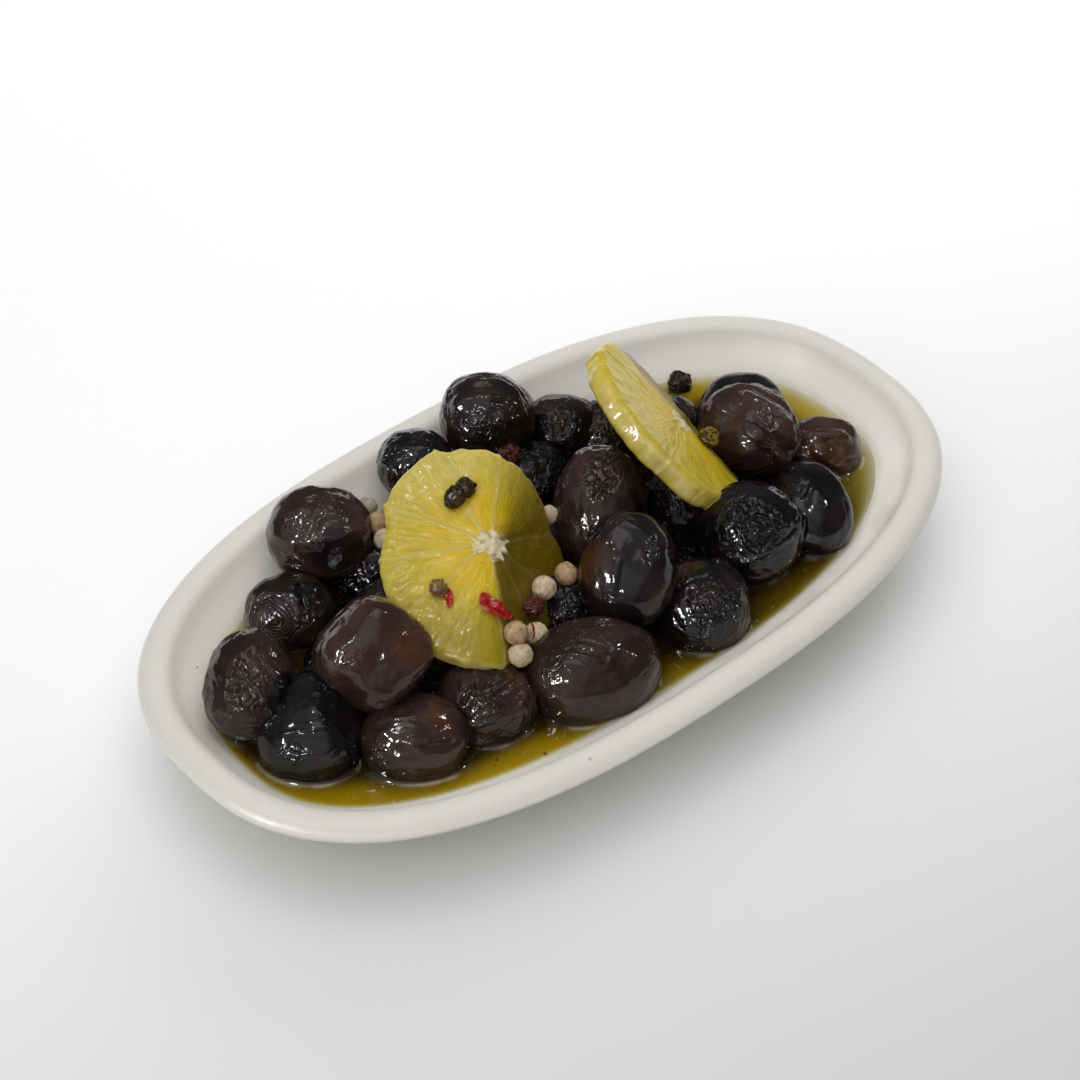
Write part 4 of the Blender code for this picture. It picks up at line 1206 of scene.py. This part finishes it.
def front_tones(across, along, height):
    """Bright pulp left of the fold line, and painted shade where the slice bends down over the
    dark olives.
    """
    degrees = np.degrees(np.arctan2(along, across)) % 360.0
    # Painted shade: the pulp right of the fold, which bends down over the dark olives, gets the
    # dark colour.
    share = 1.0 - smooth(283.0, 272.0, degrees) * smooth(50.0, 92.0, degrees)
    share = share * (0.98 - 0.45 * smooth(25.0, 80.0, degrees) * (degrees < 180.0))
    share = share * smooth(0.5, 3.0, np.hypot(across, along))
    bright = np.array([0.62, 0.425, 0.002]) + 0.0 * across[..., None]
    upper = smooth(4.0, 18.0, along)[..., None]
    outer = np.array([0.45, 0.355, 0.012]) + np.array([0.06, 0.085, 0.080]) * upper
    lower = 1.0 - 0.36 * smooth(-8.0, -22.0, along) * smooth(-20.0, -6.0, across)
    # Dark pulp colour used for the painted shade.
    dark = np.array([0.118, 0.080, 0.0005]) + 0.0 * bright
    return bright * lower[..., None], outer * lower[..., None], dark, share, 1.0


def back_tones(across, along, height):
    """Bright pulp towards the viewer, greyer beyond the pith."""
    share = smooth(2.0, -9.0, across) * 0.75
    bright = np.array([0.58, 0.40, 0.004]) + 0.0 * across[..., None]
    rim = (1.0 - smooth(0.3, 1.0, np.abs(height)))[..., None]
    bright = bright + rim * np.array([0.05, 0.03, -0.004])
    outer = np.array([0.47, 0.375, 0.016]) + rim * np.array([0.13, 0.055, -0.012])
    edging = 0.10 + 0.75 * smooth(10.0, 24.0, across)
    return bright, outer, np.array([0.150, 0.115, 0.008]) + 0.0 * bright, share, edging


def topping_rows(row, toppings):
    """Middle, axes, half sizes and kind of each peppercorn on a slice."""
    found = []
    right, up, normal = slice_axes(row)
    for across, along, lift, length, breadth, depth, direction, kind in toppings.values():
        middle = on_slice(row, np.array(across), np.array(along), row["thick"] / 2.0 + lift)
        _, _, lean = bent(across, row["bend"], row["fold"])
        sideways = math.cos(lean) * right + math.sin(lean) * normal
        outward = math.cos(lean) * normal - math.sin(lean) * right
        axes = np.stack([sideways, up, outward], axis=1) @ turned(direction, 25, 15)
        found.append((middle, axes, np.array([length, breadth, depth]) / 2.0, kind))
    return found


def make_flakes(material):
    """Red flakes: flat strips along short paths on the slice, curled up at their sides."""
    body = Body()
    for path, widths, raised in RED_FLAKES:
        path = np.array(path, float)
        spots = np.linspace(0.0, len(path) - 1.0, 40)
        columns = [np.interp(spots, range(len(path)), path[:, k]) for k in (0, 1)]
        columns = [np.pad(column, 4, "edge") for column in columns]
        columns = [np.convolve(column, np.ones(9) / 9.0, "valid") for column in columns]
        line = np.stack(columns, axis=-1)
        ahead = np.gradient(line, axis=0)
        ahead = ahead / np.linalg.norm(ahead, axis=1, keepdims=True)
        side = np.stack([-ahead[:, 1], ahead[:, 0]], axis=-1)
        wide = np.interp(spots, range(len(widths)), widths)
        turn = np.linspace(0.0, 2.0 * np.pi, 24, endpoint=False)
        out = np.cos(turn)[None, :] * wide[:, None]
        curl = 0.55 * (out / wide[:, None]) ** 2 * wide[:, None]
        crease = np.stack([out * 1.1, spots[:, None] * 1.6 + 0.0 * out, 0.0 * out], axis=-1)
        curl = curl + 0.45 * noise(crease, 37) * np.minimum(1.0, wide[:, None])
        thick = np.sin(turn)[None, :] * 0.28 * np.minimum(1.0, wide[:, None])
        place = line[:, None, :] + out[..., None] * side[:, None, :]
        lift = FRONT_SLICE["thick"] / 2.0 + 0.42 + raised + curl + thick
        points = on_slice(FRONT_SLICE, place[..., 0], place[..., 1], lift)
        ends = np.stack([points[0].mean(axis=0), points[-1].mean(axis=0)])
        body.ball(points, ends)
    return body.make("red_flakes", material, "lemon_flesh", ["lemon_slice_front"])


# Setting

def make_setting():
    """Pale floor, camera at the photo's angle and soft lights."""
    bpy.context.scene.view_settings.view_transform = "Standard"
    bpy.ops.mesh.primitive_plane_add(size=6.0, location=(0.0, 0.0, -0.0002))
    floor = bpy.context.object
    floor.name = "floor"
    board = Board("floor", Roughness=0.9)
    board.shader.inputs["Specular IOR Level"].default_value = 0.0
    # Painted light falloff on the floor, from lit white to grey painted shade.
    share = (board.axis(0) * 0.154 + board.axis(1) * 0.826).step(0.10, -0.24)
    colour = board.mix(share, FLOOR_LIT_TONE, FLOOR_SHADED_TONE)
    floor.data.materials.append(board.finish(Base_Color=colour))

    data = bpy.data.cameras.new("camera")
    data.lens, data.sensor_width = LENS, SENSOR
    data.shift_x, data.shift_y = SHIFT_X, SHIFT_Y
    camera = bpy.data.objects.new("camera", data)
    camera.location = Vector(BACK * DISTANCE * MM) + Vector((0.0, 0.0, AIM_HEIGHT * MM))
    camera.rotation_euler = Vector(-BACK).to_track_quat("-Z", "Y").to_euler()
    bpy.context.scene.collection.objects.link(camera)
    bpy.context.scene.camera = camera

    make_light()


def make_light():
    """Soft light from a broad glow overhead and a weaker one from the front left, with a
    narrow upright key light and small sparks that only wet surfaces mirror. Three broad
    lights add to the soft light without a mirror image on the wet skins."""
    world = bpy.data.worlds.new("soft light")
    world.use_nodes = True
    tree = world.node_tree
    place = tree.nodes.new("ShaderNodeTexCoord").outputs[0]
    total = None
    for toward, low, high, strength in SKY_GLOWS:
        dot = tree.nodes.new("ShaderNodeVectorMath")
        dot.operation = "DOT_PRODUCT"
        tree.links.new(place, dot.inputs[0])
        dot.inputs[1].default_value = toward
        glow = tree.nodes.new("ShaderNodeMapRange")
        glow.interpolation_type = "SMOOTHSTEP"
        tree.links.new(dot.outputs["Value"], glow.inputs["Value"])
        glow.inputs["From Min"].default_value = low
        glow.inputs["From Max"].default_value = high
        glow.inputs["To Max"].default_value = strength
        joined = tree.nodes.new("ShaderNodeMath")
        joined.inputs[0].default_value = SKY_BASE
        if total is not None:
            tree.links.new(total, joined.inputs[0])
        tree.links.new(glow.outputs[0], joined.inputs[1])
        total = joined.outputs[0]
    tree.links.new(total, tree.nodes["Background"].inputs["Strength"])
    tree.nodes["Background"].inputs["Color"].default_value = (1.0, 1.0, 1.0, 1.0)
    bpy.context.scene.world = world
    for name, where, width, height, glow, seen_wet in LIGHTS:
        light = bpy.data.lights.new(name, "AREA")
        light.shape, light.size, light.size_y = "RECTANGLE", width, height
        light.energy = glow * math.pi * width * height
        made = bpy.data.objects.new(name, light)
        made.location = Vector(where) * MM
        aim = Vector((0.0, 0.0, 0.02)) - made.location
        made.rotation_euler = aim.to_track_quat("-Z", "Y").to_euler()
        made.visible_glossy = seen_wet
        made.visible_diffuse = not seen_wet
        bpy.context.scene.collection.objects.link(made)


def main():
    make_setting()
    make_dish(glaze_material())
    make_oil(oil_material())
    skin, husk, flesh = skin_material(), corn_material(), flesh_material()
    make_olives("olives_left", FINE_OLIVES[:5], FINE_GRID, skin)
    make_olives("olives_front", FINE_OLIVES[5:10], FINE_GRID, skin)
    make_olives("olives_right", FINE_OLIVES[10:], FINE_GRID, skin)
    others = [name for name in OLIVES if name not in FINE_OLIVES]
    make_olives("olives_more", others, COARSE_GRID, skin)
    make_core(skin)
    heap_rows = [
        (row[:3], turned(40 * k, 30, 20 * k), np.full(3, row[3] / 2.0), row[4])
        for k, row in enumerate(HEAP_CORNS.values())
    ]
    make_corns("heap_corns", heap_rows, ["olive_heap"], husk)
    x, y, z, width, kind = OIL_CORN
    oil_rows = [((x, y, z), turned(30, 40, 0), np.full(3, width / 2.0), kind)]
    make_corns("oil_corn", oil_rows, ["oil"], husk)
    make_slice("lemon_front", FRONT_SLICE, front_tones, 61, "lemon_slice_front", flesh)
    make_slice("lemon_back", BACK_SLICE, back_tones, 83, "lemon_slice_back", flesh)
    front_rows = topping_rows(FRONT_SLICE, FRONT_TOPPINGS)
    make_corns("lemon_front_corns", front_rows, ["lemon_slice_front"], husk)
    back_rows = topping_rows(BACK_SLICE, BACK_TOPPINGS)
    make_corns("lemon_back_corn", back_rows, ["lemon_slice_back"], husk)
    make_flakes(flake_material())


main()
